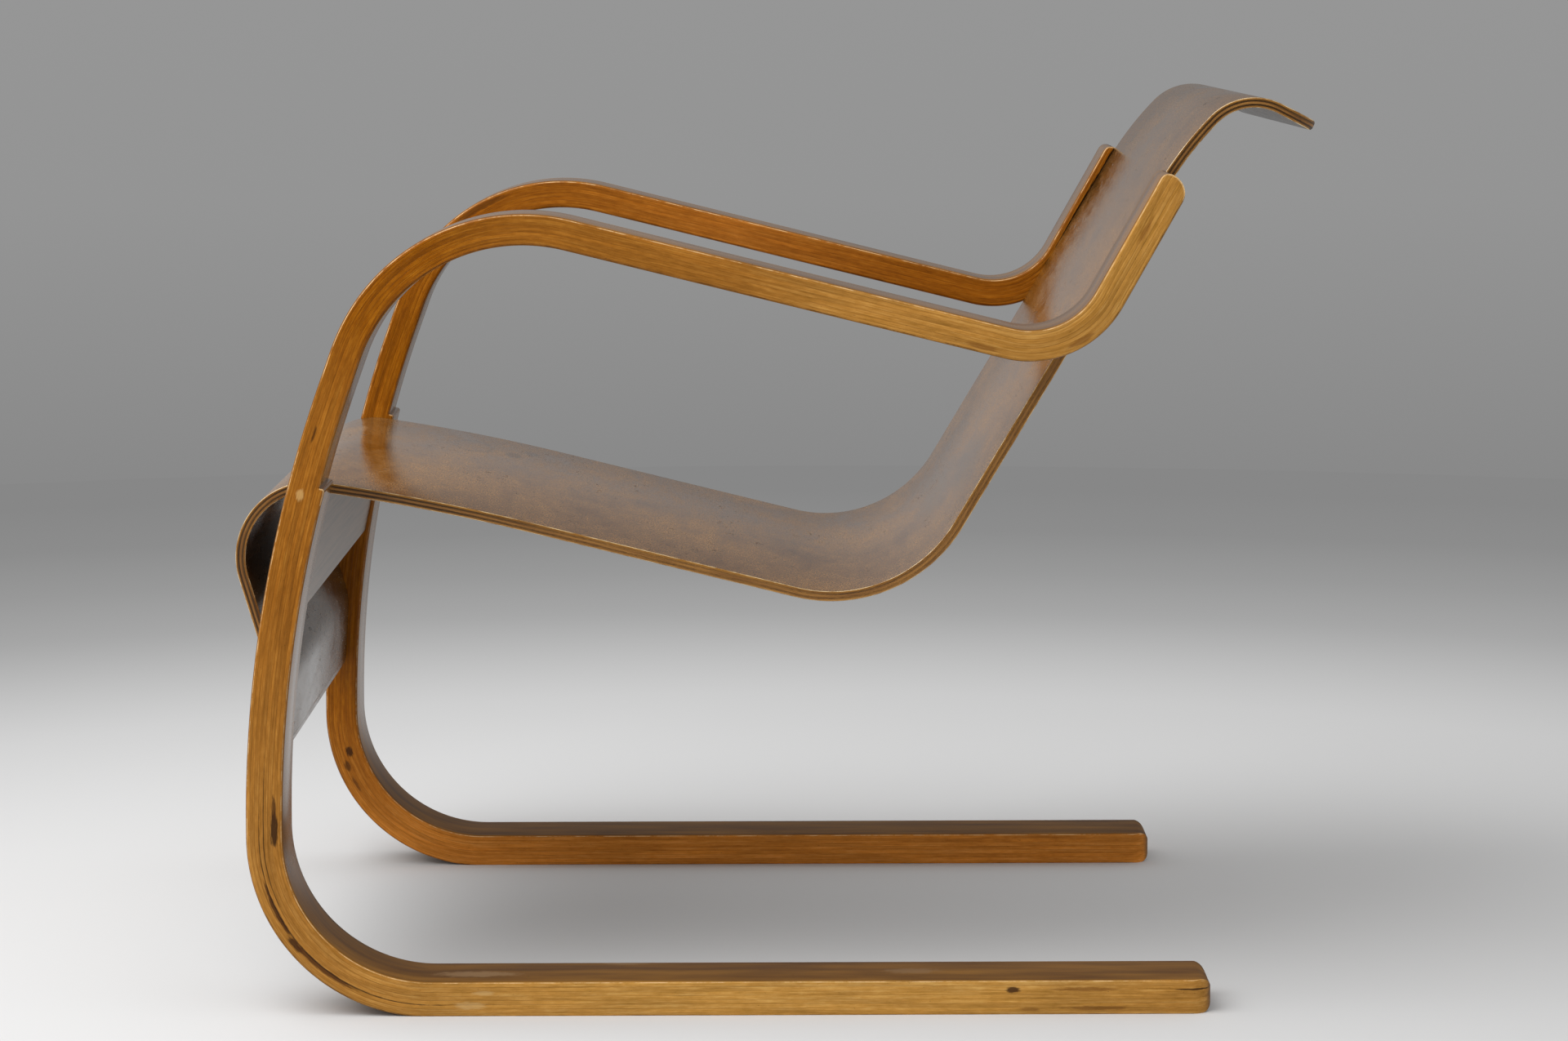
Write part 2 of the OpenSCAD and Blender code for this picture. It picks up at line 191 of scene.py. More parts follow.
def face_outwards(mesh: bpy.types.Mesh) -> None:
    """Turn a closed mesh's faces outwards, if they point inwards."""
    work = bmesh.new()
    work.from_mesh(mesh)
    if work.calc_volume(signed=True) < 0:
        bmesh.ops.reverse_faces(work, faces=work.faces)
    work.to_mesh(mesh)
    work.free()


# ---- the side view's paths ----


class Side(Enum):
    """The sitter's side that a frame stands on; the value is its X sign."""

    LEFT = 1
    RIGHT = -1


@dataclass(frozen=True)
class Pose:
    """A place and heading in the side view: millimetres and degrees.

    Heading 0 is straight back and heading 90 is straight up.
    """

    along: float
    up: float
    heading: float

    def beside(self, depth: float) -> "Pose":
        """This pose moved to its own right by depth."""
        turn = math.radians(self.heading)
        return Pose(self.along + depth * math.sin(turn), self.up - depth * math.cos(turn), self.heading)

    def ahead(self, length: float) -> "Pose":
        """This pose moved straight on by length."""
        turn = math.radians(self.heading)
        return Pose(self.along + length * math.cos(turn), self.up + length * math.sin(turn), self.heading)

    def turned(self, radius: float, turn: float) -> "Pose":
        """This pose moved round a bend; a positive turn is clockwise."""
        side = math.copysign(1, turn)
        centre = self.beside(side * radius)
        return Pose(centre.along, centre.up, self.heading - turn).beside(-side * radius)


@dataclass(frozen=True)
class Piece:
    """One straight (turn 0, size is its length) or bend (size is its radius)."""

    size: float
    turn: float = 0.0

    @property
    def length(self) -> float:
        """Length along the path, in millimetres."""
        return self.size if self.turn == 0 else self.size * math.radians(abs(self.turn))

    def pose(self, start: Pose, run: float) -> Pose:
        """The pose at a run of so many millimetres from the piece's start."""
        if self.turn == 0:
            return start.ahead(run)
        return start.turned(self.size, math.copysign(math.degrees(run / self.size), self.turn))


@dataclass(frozen=True)
class Path:
    """A strip's path, followed on its reference face."""

    start: Pose
    pieces: tuple[Piece, ...]
    chord: float = 0.012

    LONGEST: ClassVar[float] = 40.0  # between a straight's sections
    CLOSEST: ClassVar[float] = 0.012
    STEP_GAP: ClassVar[float] = 0.05
    END_TURNS: ClassVar[range] = range(0, 91, 6)
    END_SHARES: ClassVar[tuple[float, ...]] = (0.002, 0.012, 0.03, 0.05, 0.085, 0.15)

    @property
    def length(self) -> float:
        """Whole length in millimetres."""
        return sum(p.length for p in self.pieces)

    def end(self) -> Pose:
        """The pose at the path's end."""
        return self.at(self.length)

    def at(self, run: float) -> Pose:
        """The pose at a run of so many millimetres from the start."""
        pose = self.start
        for piece in self.pieces:
            if run <= piece.length + 1e-9:
                return piece.pose(pose, run)
            pose, run = piece.pose(pose, piece.length), run - piece.length
        return pose

    def cut(self, length: float) -> "Path":
        """The first part of this path, so many millimetres long."""
        kept, left = [], length
        for piece in self.pieces:
            share = min(left / piece.length, 1)
            if share > 0:
                part = (piece.size, piece.turn * share) if piece.turn else (piece.size * share,)
                kept.append(Piece(*part))
            left -= piece.length
        return Path(self.start, tuple(kept), self.chord)

    def runs(self, fine: float, step: float) -> list[float]:
        """Where sections are laid: close in bends and near the rounded ends.

        Args:
            fine: millimetres at each end that get close sections.
            step: a run that gets a section of its own on both its sides.

        Returns:
            Runs from 0 to the whole length, in millimetres.
        """
        places, done = {0.0, self.length}, 0.0
        for piece in self.pieces:
            if piece.turn:
                facet = 2 * math.degrees(math.acos(1 - self.chord / piece.size))
                count = math.ceil(abs(piece.turn) / facet)
            else:
                count = max(1, math.ceil(piece.length / self.LONGEST))
            places |= {done + piece.length * i / count for i in range(count + 1)}
            done += piece.length
        near = [fine * (1 - math.cos(math.radians(turn))) for turn in self.END_TURNS]
        near += [fine * share for share in self.END_SHARES]
        places |= set(near) | {self.length - d for d in near}
        if 0 < step < self.length:
            places |= {step - self.STEP_GAP, step + self.STEP_GAP}
        kept: list[float] = []
        for run in sorted(places):
            if not kept or run - kept[-1] > self.CLOSEST:
                kept.append(run)
        kept[-1] = self.length
        return kept


# ---- strips laid along a path ----


@dataclass(frozen=True)
class End:
    """Rounding of a bar's end: its depth, in plan, and its two side-view corners."""

    depth: float
    plan: float = 0.0
    near: float = 0.0
    far: float = 0.0
    lift: float = 0.0

    def outline(self, away: np.ndarray, depth: np.ndarray) -> np.ndarray:
        """How far points lie inside the end's rounded side view.

        Args:
            away: their distances from the end, in millimetres.
            depth: their depths in the bar, in millimetres.

        Returns:
            Distances to the nearest edge, in millimetres.
        """
        inside = []
        for radius, deep in ((self.near, depth), (self.far, self.depth - depth)):
            corner = (away < radius) & (deep < radius)
            rounded = radius - np.hypot(radius - away, radius - deep)
            inside.append(np.where(corner, rounded, np.minimum(away, deep)))
        return np.minimum(*inside)


@dataclass(frozen=True)
class Strip:
    """One lamination or ply: its depth range on the path, width and edges."""

    near: float
    far: float
    width: float
    near_round: float
    far_round: float


@dataclass(frozen=True)
class Bar:
    """What the strips of one bar share: its path, its ends and its place.

    Across is the bar's middle from the chair's middle, and centre is where the
    chair's middle lies along the side view.
    """

    path: Path
    start: End
    end: End
    across: float
    centre: float


class StripTree:
    """Geometry nodes that sweep a strip along a path and round its ends."""

    SIZES = (
        "Near", "Far", "Width", "Near round", "Far round", "Across", "Length", "Start depth", "End depth",
        "Start plan", "Start near", "Start far", "Start lift", "End plan", "End near", "End far", "Covered",
    )
    ARRIS_POINTS = 5
    SQUARING = 1.6  # takes a rounded corner's own points out to the square one
    LEAST = (-10.0, -10.0, 0.0)  # metres; a point's place is no less, so not below the floor
    RING_REACH = 12.0  # mm from the end at which its worn ring has died away
    SHARP = math.radians(32)

    def __init__(self) -> None:
        """Build the rounding group and the strip tree."""
        self.rounding = self._rounding().tree
        self.tree = self._strip().tree

    def _rounding(self) -> Sheet:
        """Group: how deep a quarter round cuts, at a distance from the end."""
        sheet = new_group("Quarter round", {"Distance": "Float", "Radius": "Float"}, ("Cut", "Float"))
        sheet.work_out(
            ("gap", "SUBTRACT", "size.Radius", "size.Distance"),
            ("gap", "MAXIMUM", "gap", 0.0),
            ("square", "MULTIPLY", "gap", "gap"),
            ("whole", "MULTIPLY", "size.Radius", "size.Radius"),
            ("rest", "SUBTRACT", "whole", "square"),
            ("root", "SQRT", "rest"),
            ("cut", "SUBTRACT", "size.Radius", "root"),
        )
        sheet.add("output", "NodeGroupOutput", {"Cut": "cut"})
        return sheet

    def _strip(self) -> Sheet:
        """The strip tree; its inputs are the path, SIZES and the material."""
        inputs = {"Path": "Geometry", **dict.fromkeys(self.SIZES, "Float"), "Finish": "Material"}
        sheet = new_group("Laid strip", inputs, ("Strip", "Geometry"))

        # the profile: a rectangle with its near and far corners rounded
        sheet.add("spot", "GeometryNodeInputPosition")
        sheet.work_out(
            ("corner", "SPLIT", "spot"),
            ("is far", "GREATER_THAN", "corner.X", 0.0),
            ("radius", "MIX", "is far", "size.Near round", "size.Far round"),
            ("thick", "SUBTRACT", "size.Far", "size.Near"),
            ("middle", "ADD", "size.Far", "size.Near"),
            ("middle", "MULTIPLY", "middle", 0.5),
            ("depth", "ADD", "corner.X", "middle"),
        )
        board = "GeometryNodeCurvePrimitiveQuadrilateral"
        sheet.add("profile", board, {"Width": "thick", "Height": "size.Width"})
        rounded = {"Curve": "profile", "Count": self.ARRIS_POINTS, "Radius": "radius", "Limit Radius": True}
        sheet.add("profile", "GeometryNodeFilletCurve", rounded, mode="POLY")
        for name, value in (("depth", "depth"), ("across", "corner.Y")):
            told = {"Geometry": "profile", "Name": name, "Value": value}
            sheet.add("profile", "GeometryNodeStoreNamedAttribute", told)

        # the sweep, and what each of its points knows
        sheet.add("line", "GeometryNodeMeshToCurve", {"Mesh": "size.Path"})
        sweep = {"Curve": "line", "Profile Curve": "profile", "Fill Caps": True}
        sheet.add("strip", "GeometryNodeCurveToMesh", sweep)
        for kind, names in (("FLOAT", ("run", "depth", "across")), ("FLOAT_VECTOR", ("inward", "spot"))):
            for name in names:
                sheet.add(name, "GeometryNodeInputNamedAttribute", {"Name": name}, data_type=kind)

        # where another strip covers the far face, its corners stay square
        sheet.work_out(
            ("to end", "SUBTRACT", "size.Length", "run"),
            ("covered", "LESS_THAN", "run", "size.Covered"),
            ("half", "MULTIPLY", "size.Width", 0.5),
            ("wide", "ABSOLUTE", "across"),
        )
        for grown, reach, limit in (("wider", "wide", "half"), ("deeper", "depth", "size.Far")):
            sheet.work_out(
                ("flat", "SUBTRACT", limit, "size.Far round"),
                ("past", "SUBTRACT", reach, "flat"),
                ("past", "MAXIMUM", "past", 0.0),
                ("full", "MULTIPLY", "past", self.SQUARING),
                ("full", "MINIMUM", "full", "size.Far round"),
                ("gain", "SUBTRACT", "full", "past"),
                (grown, "MULTIPLY", "gain", "covered"),
            )

        # how far in the rounded ends keep each point
        for end, away in (("Start", "run"), ("End", "to end")):
            for corner in ("plan", "near", "far"):
                rounded = {"Distance": away, "Radius": f"size.{end} {corner}"}
                sheet.add(f"{end} {corner}", "GeometryNodeGroup", rounded, node_tree=self.rounding)
        sheet.work_out(
            ("hand", "SIGN", "across"),
            ("across", "MULTIPLY_ADD", "hand", "wider", "across"),
            ("depth", "ADD", "depth", "deeper"),
            ("plan", "MAXIMUM", "Start plan", "End plan"),
            ("half", "SUBTRACT", "half", "plan"),
            ("other", "MULTIPLY", "half", -1.0),
            ("across", "MINIMUM", "across", "half"),
            ("across", "MAXIMUM", "across", "other"),
            ("low", "MAXIMUM", "Start near", "End near"),
            ("near start", "LESS_THAN", "run", "size.Start near"),
            ("low", "MULTIPLY_ADD", "near start", "size.Start lift", "low"),
            ("high", "SUBTRACT", "size.Start depth", "Start far"),
            ("last", "SUBTRACT", "size.End depth", "End far"),
            ("high", "MINIMUM", "high", "last"),
            ("depth", "MAXIMUM", "depth", "low"),
            ("depth", "MINIMUM", "depth", "high"),
            # each point goes to its place
            ("inward", "SCALE", "inward", "depth"),
            ("out", "ADD", "across", "size.Across"),
            ("sideways", "JOIN", "out"),
            ("place", "MOVE", "spot", "inward"),
            ("place", "MOVE", "place", "sideways"),
            ("place", "AT LEAST", "place", self.LEAST),
            ("wood", "JOIN", "run", "across", "depth"),
        )
        sheet.add("strip", "GeometryNodeSetPosition", {"Geometry": "strip", "Position": "place"})
        told = {"Geometry": "strip", "Name": "place", "Value": "wood"}
        sheet.add("strip", "GeometryNodeStoreNamedAttribute", told, data_type="FLOAT_VECTOR")
        sheet.add("strip", "GeometryNodeRealizeInstances", {"Geometry": "strip"})
        sheet.add("strip", "GeometryNodeSetMaterial", {"Geometry": "strip", "Material": "size.Finish"})
        sheet.add("output", "NodeGroupOutput", {"Strip": "strip"})
        return sheet

    def lay(
        self, node: str, strip: Strip, bar: Bar, layer: int, finish: Material,
        thins: float = 0.0, covered: float = 0.0,
    ) -> bpy.types.Object:
        """Lay one strip and turn it into a plain mesh.

        Args:
            node: the CAD node that it stands for.
            strip: its depth range, width and edges.
            bar: the bar that it is a part of.
            layer: a number of its own, which sets its grain apart.
            finish: its material.
            thins: run at which the bar goes from its first depth to its last.
            covered: run up to which another strip lies on the far face.

        Returns:
            The finished piece, at the origin.
        """
        name = f"{node}_dressed"
        piece = link_object(name, self._path_mesh(name, bar, covered))
        modifier = piece.modifiers.new("Laid strip", "NODES")
        modifier.node_group = self.tree
        values = {"Across": bar.across, "Length": bar.path.length, "Covered": covered}
        values |= {key.capitalize().replace("_", " "): size for key, size in asdict(strip).items()}
        for label, rounded in (("Start", bar.start), ("End", bar.end)):
            values |= {f"{label} {key}": size for key, size in asdict(rounded).items()}
        for item in self.tree.interface.items_tree:
            if item.name in self.SIZES:
                modifier[item.identifier] = values[item.name] * MM
            elif item.name == "Finish":
                modifier[item.identifier] = finish
        graph = bpy.context.evaluated_depsgraph_get()
        solid = bpy.data.meshes.new_from_object(
            piece.evaluated_get(graph), preserve_all_data_layers=True, depsgraph=graph,
        )
        piece.modifiers.clear()
        piece.data = solid
        solid.name = name
        face_outwards(solid)
        solid.shade_smooth()
        solid.set_sharp_from_angle(angle=self.SHARP)
        places = np.zeros(3 * len(solid.vertices))
        solid.attributes["place"].data.foreach_get("vector", places)
        run, depth = places[0::3] / MM, places[2::3] / MM
        whole = np.where(run < thins, bar.start.depth, bar.end.depth)
        away = bar.path.length - run
        told = {
            "edge": np.minimum(depth, whole - depth) * MM,
            "rim": np.maximum(bar.end.outline(away, depth), away - self.RING_REACH) * MM,
            "layer": np.full(len(run), float(layer)),
        }
        for label, values in told.items():
            solid.attributes.new(label, "FLOAT", "POINT").data.foreach_set("value", values)
        log.info("%s: %d faces", name, len(solid.polygons))
        return piece

    @staticmethod
    def _path_mesh(name: str, bar: Bar, covered: float) -> bpy.types.Mesh:
        """A line of vertices along the bar's path, which know their run and frame.

        Args:
            name: the piece's name.
            bar: the bar that the strip is a part of.
            covered: run up to which another strip lies on the far face.

        Returns:
            The line's mesh.
        """
        fine = max(1, *(size for end in (bar.start, bar.end) for size in (end.plan, end.near, end.far)))
        runs = bar.path.runs(fine, covered)
        poses = [bar.path.at(run) for run in runs]
        turns = [math.radians(pose.heading) for pose in poses]
        spots = [(0.0, (pose.along + bar.centre) * MM, pose.up * MM) for pose in poses]
        inwards = [(0.0, math.sin(turn), -math.cos(turn)) for turn in turns]
        mesh = bpy.data.meshes.new(name + "_path")
        mesh.from_pydata(spots, [(i, i + 1) for i in range(len(spots) - 1)], [])
        mesh.attributes.new("run", "FLOAT", "POINT").data.foreach_set("value", [r * MM for r in runs])
        for label, rows in (("spot", spots), ("inward", inwards)):
            mesh.attributes.new(label, "FLOAT_VECTOR", "POINT").data.foreach_set("vector", np.ravel(rows))
        return mesh


# ---- finishes ----


@dataclass(frozen=True)
class Finish:
    """A surface: its name, and a node material."""

    name: str

    def surface(self, sheet: Sheet) -> None:
        """Add the nodes up to the shader; each finish has its own."""
        raise NotImplementedError

    def material(self) -> Material:
        """Build the node material."""
        made = bpy.data.materials.new(self.name)
        made.use_nodes = True
        sheet = Sheet(made.node_tree)
        self.surface(sheet)
        sheet.add("output", "ShaderNodeOutputMaterial", {"Surface": "shader"})
        return made


@dataclass(frozen=True)
class Grain:
    """Noise that moves with the wood, plain or stretched to a share.

    Its size is one feature's, in millimetres: along, across and into the strip.
    Rough is the strength of the finer octaves, and drift says how far apart two
    layers' patterns lie. Noise over the span goes to the share.
    """

    size: Triple
    detail: float
    rough: float = 0.6
    span: Span | None = None
    share: Span = (0.0, 1.0)
    drift: float = 1.0

    APART: ClassVar[Triple] = (13.7, 5.9, 8.3)

    def lay(self, sheet: Sheet, name: str) -> None:
        """Add the noise's nodes.

        Args:
            sheet: a strip finish's sheet.
            name: the name that the noise goes by.
        """
        sheet.work_out(
            ("apart", "SCALE", tuple(step * self.drift for step in self.APART), "layer.Fac"),
            ("spot", "STRETCH", "place.Vector", tuple(PER_METRE / size for size in self.size)),
            ("spot", "MOVE", "spot", "apart"),
        )
        wave = {"Vector": "spot", "Scale": 1.0, "Detail": self.detail, "Roughness": self.rough}
        sheet.add(name, "ShaderNodeTexNoise", wave)
        if self.span is not None:
            sheet.work_out((name, "SMOOTH", name, *self.span, *self.share))


@dataclass(frozen=True)
class StripFinish(Finish):
    """A finish that follows a strip's own unbent measure."""

    SIDE: ClassVar[Span] = (0.35, 0.8)

    def start(self, sheet: Sheet) -> None:
        """Add the strip's measure and this finish's noise.

        Args:
            sheet: the material's sheet; each noise goes by its field's name.
        """
        for name in ("place", "layer"):
            sheet.add(name, "ShaderNodeAttribute", attribute_name=name)
        sheet.work_out(("parts", "SPLIT", "place.Vector"))
        for entry in fields(self):
            grain = getattr(self, entry.name)
            if isinstance(grain, Grain):
                grain.lay(sheet, entry.name)

    def find_sides(self, sheet: Sheet) -> None:
        """Add the way that the surface faces; the name of side is 1 on cut edges.

        Args:
            sheet: the material's sheet.
        """
        sheet.add("normal", "ShaderNodeNewGeometry")
        sheet.work_out(
            ("way", "SPLIT", "normal.Normal"),
            ("facing", "ABSOLUTE", "way.X"),
            ("side", "SMOOTH", "facing", *self.SIDE),
        )


@dataclass(frozen=True)
class Mark:
    """A soft-edged mark in a strip's own unbent measure.

    Sizes are in millimetres: along the strip, across it and into it. A ring
    marks only its own rim.
    """

    run: float
    across: float
    depth: float
    size: Triple
    code: str
    strength: float = 0.8
    ring: bool = False

    OUTLINE: ClassVar[Grain] = Grain((7, 5, 1.1), 3.0, drift=0.0)
    WANDER: ClassVar[float] = 1.2
    RIM: ClassVar[float] = 1.6  # a ring's radius, in the mark's own sizes
    RING_FADE: ClassVar[Span] = (0.14, 0.04)
    SPOT_FADE: ClassVar[Span] = (1.7, 1.15)

    def lay(self, sheet: Sheet) -> None:
        """Lay the mark over the wood, its outline roughened by noise.

        Args:
            sheet: a strip finish's sheet, where the wood goes by its name.
        """
        if "outline" not in sheet.known:
            self.OUTLINE.lay(sheet, "outline")
        centre = tuple(size * MM for size in (self.run, self.across, self.depth))
        sheet.work_out(
            ("away", "MOVE BACK", "place.Vector", centre),
            ("away", "STRETCH", "away", tuple(PER_METRE / size for size in self.size)),
            ("far", "LENGTH", "away"),
            ("far", "MULTIPLY_ADD", "outline", self.WANDER, "far"),
        )
        if self.ring:
            sheet.work_out(("far", "SUBTRACT", "far", self.RIM), ("far", "ABSOLUTE", "far"))
        fade = self.RING_FADE if self.ring else self.SPOT_FADE
        sheet.work_out(
            ("share", "SMOOTH", "far", *fade, 0.0, self.strength),
            ("wood", "BLEND", "share", "wood", self.code),
        )


@dataclass(frozen=True)
class ArrisWearAndPaintedLight:
    """A thin broken line along an arris: rubbing and dirt, and painted light on the rounded edge.

    It lies within reach of the edge, as shares of the width, and where the
    surface faces across the chair by more than begins and less than ends.
    """

    width: float
    reach: Span
    begins: Span
    ends: Span
    rubbed: Grain

    def lay(self, sheet: Sheet, colour: str) -> None:
        """Lay the line over the wood.

        Args:
            sheet: a strip finish's sheet, where the wood goes by its name.
            colour: the line's hex colour, or a colour's name in the sheet.
        """
        self.rubbed.lay(sheet, "rubbed")
        sheet.add("edge", "ShaderNodeAttribute", attribute_name="edge")
        sheet.work_out(
            ("near", "SMOOTH", "edge.Fac", *(self.width * share * MM for share in self.reach)),
            ("past", "SMOOTH", "facing", *self.ends),
            ("past", "SMOOTH", "past", 0.0, 1.0, 1.0, 0.0),
            ("line", "SMOOTH", "facing", *self.begins),
            ("line", "MULTIPLY", "line", "past"),
            ("line", "MULTIPLY", "near", "line"),
            ("line", "MULTIPLY", "line", "rubbed"),
            ("wood", "BLEND", "line", "wood", colour),
        )


@dataclass(frozen=True)
class BirchLaminate(StripFinish):
    """Birch laminations, glued, sanded flush and lacquered.

    Their cut edges run from pale yellow on the trodden base to deep amber at the shoulder. The deepening is
    partly the laminate's own tone and partly painted shade, where the upper frame gets less light. Their
    veneer faces are brown, matt on the base and glossy above it. The upward arrises are rubbed pale and
    carry a painted highlight, the downward ones hold dirt and painted shade, and the tail's end has a
    rubbed ring.
    """

    name: str = "Lacquered birch laminate"
    pale: tuple[str, str, str] = ("#A4762C", "#C28E42", "#D6A85E")
    deep: tuple[str, str, str] = ("#723C00", "#905100", "#AC6A0C")
    faces: Stops = ((0.35, "#64411B"), (0.68, "#8E6228"))
    stain: str = "#5E3008"
    seam: str = "#3A2008"
    # pale of rubbed wood, for the tail's ring and the arrises; on upward arrises it also stands for a
    # painted highlight
    worn: str = "#E4C08C"
    length: float = 1834.0
    # share of the deep tones along the run: partly the laminate's own tone, partly painted shade on the
    # upper frame, which gets less light
    varnish: Stops = (
        (0.0, "#959595"), (180.0, "#000000"), (420.0, "#000000"), (560.0, "#7C7C7C"), (640.0, "#BCBCBC"),
        (800.0, "#C8C8C8"), (950.0, "#EDEDED"), (1090.0, "#EDEDED"), (1160.0, "#FFFFFF"),
        (1240.0, "#FFFFFF"), (1310.0, "#EDEDED"), (1470.0, "#DADADA"), (1540.0, "#AAAAAA"),
        (1700.0, "#959595"), (1760.0, "#7C7C7C"), (1834.0, "#959595"),
    )
    lamination: float = 3.2
    gleam: float = 0.16
    gloss: float = 0.1
    satin: float = 0.26
    matt: float = 0.46
    glossy_from: Span = (0.3, 0.47)  # shares of the length between which the gloss begins
    uneven: float = 0.12
    ior: float = 1.46
    relief: Span = (0.25, 0.2)  # its strength, and its height in millimetres
    marks: tuple[Mark, ...] = ()

    # cut edges: fine streaks 1 mm thick and 38 mm long, mottle, and broader
    # bands that differ from one lamination to the next
    streaks: Grain = Grain((38, 3, 1.0), 6.0, 0.66)
    bands: Grain = Grain((260, 12, 4.2), 3.0)
    band_share: float = 0.38
    mottle: Grain = Grain((8, 6, 2.4), 4.0)
    mottle_share: float = 0.25
    tone_places: Triple = (0.37, 0.5, 0.63)
    clouds: Grain = Grain((80, 60, 12), 4.0, span=(0.3, 0.7), share=(0.84, 1.14), drift=0.2)
    # veneer faces: broad soft figure
    figure: Grain = Grain((110, 14, 6), 5.0)
    # glue seams: thin dark lines that come and go along the bar
    seams: Grain = Grain((120, 400, 5), 4.0, 0.7, (0.48, 0.66), (0.05, 0.6))
    seam_edge: Span = (0.43, 0.49)
    # brown streaks and specks
    stains: Grain = Grain((46, 30, 1.4), 5.0, 0.7, (0.62, 0.75), (0.0, 0.4))
    specks: Grain = Grain((3.0, 3, 0.9), 2.0, 0.5, (0.71, 0.77), (0.0, 0.6))
    # arrises: a thin broken line, rubbed pale with a painted highlight where it faces up, dirty with
    # painted shade where it faces down
    wear: ArrisWearAndPaintedLight = ArrisWearAndPaintedLight(
        2.4, (0.9, 0.6), (0.68, 0.76), (0.84, 0.92),
        Grain((14, 30, 30), 5.0, 0.7, (0.4, 0.62), (0.05, 0.85)),
    )
    # heights of the normal over which the arris line goes from painted shade with dirt to painted highlight
    # with rubbing
    upward: Span = (-0.3, 0.1)
    # the tail's end: a worn ring along its outline, on the cut edges
    ring: float = 1.3
    ring_core: float = 0.4
    ring_faces: Span = (0.5, 0.7)
    ring_wear: Grain = Grain((5, 5, 5), 4.0, 0.7, (0.3, 0.6), (0.3, 0.85))

    def surface(self, sheet: Sheet) -> None:
        """Add the nodes, from the wood up to the lacquer."""
        self.start(sheet)
        self.find_sides(sheet)
        deep_share_and_shade = tuple((run / self.length, code) for run, code in self.varnish)
        sheet.work_out(
            ("streaky", "MIX", self.band_share, "streaks", "bands"),
            ("streaky", "MIX", self.mottle_share, "streaky", "mottle"),
            ("pale", "RAMP", "streaky", {"stops": tuple(zip(self.tone_places, self.pale))}),
            ("deep", "RAMP", "streaky", {"stops": tuple(zip(self.tone_places, self.deep))}),
            ("along", "MULTIPLY", "parts.X", PER_METRE / self.length),
            # painted shade: the cut edges go deeper towards the shoulder, on top of their own tone
            ("lacquer", "RAMP", "along", {"stops": deep_share_and_shade}),
            ("cut", "BLEND", "lacquer", "pale", "deep"),
            ("cut", "SCALE", "cut", "clouds"),
            ("veneer", "RAMP", "figure", {"stops": self.faces}),
            ("wood", "BLEND", "side", "veneer", "cut"),
            ("off", "MULTIPLY", "parts.Z", PER_METRE / self.lamination),
            ("off", "PINGPONG", "off", 1.0),
            ("off", "SUBTRACT", "off", 0.5),
            ("off", "ABSOLUTE", "off"),
            ("seam", "SMOOTH", "off", *self.seam_edge),
            ("seam", "MULTIPLY", "seam", "seams"),
            ("seam", "MULTIPLY", "seam", "side"),
            ("wood", "BLEND", "seam", "wood", self.seam),
            ("wood", "BLEND", "stains", "wood", self.stain),
            ("wood", "BLEND", "specks", "wood", self.seam),
            # painted highlight and shade: an arris that faces up takes the pale colour, one that faces down
            # the dark seam colour, over real rubbing and dirt
            ("above", "SMOOTH", "way.Z", *self.upward),
            ("rubbed arris", "BLEND", "above", self.seam, self.worn),
        )
        for mark in self.marks:
            mark.lay(sheet)
        self.wear.lay(sheet, "rubbed arris")
        sheet.add("rim", "ShaderNodeAttribute", attribute_name="rim")
        sheet.work_out(
            ("ring", "SMOOTH", "rim.Fac", self.ring * MM, self.ring * self.ring_core * MM),
            ("ring", "MULTIPLY", "ring", "ring_wear"),
            ("flat", "SMOOTH", "facing", *self.ring_faces),
            ("ring", "MULTIPLY", "ring", "flat"),
            ("wood", "BLEND", "ring", "wood", self.worn),
            # lacquer: glossy above the foot, matt on the base; the sanded cut
            # edges drink it, so that it gleams less than a thick coat
            ("sheen", "MIX", "side", self.gloss, self.satin),
            ("glossy", "SMOOTH", "along", *self.glossy_from),
            ("sheen", "MIX", "glossy", self.matt, "sheen"),
            ("rough", "MULTIPLY_ADD", "figure", self.uneven, "sheen"),
        )
        strength, height = self.relief
        bump = {"Strength": strength, "Distance": height * MM, "Height": "streaky"}
        sheet.add("bump", "ShaderNodeBump", bump)
        lacquered = {
            "Base Color": "wood", "Roughness": "rough", "Normal": "bump", "IOR": self.ior,
            "Specular IOR Level": self.gleam,
        }
        sheet.add("shader", "ShaderNodeBsdfPrincipled", lacquered)


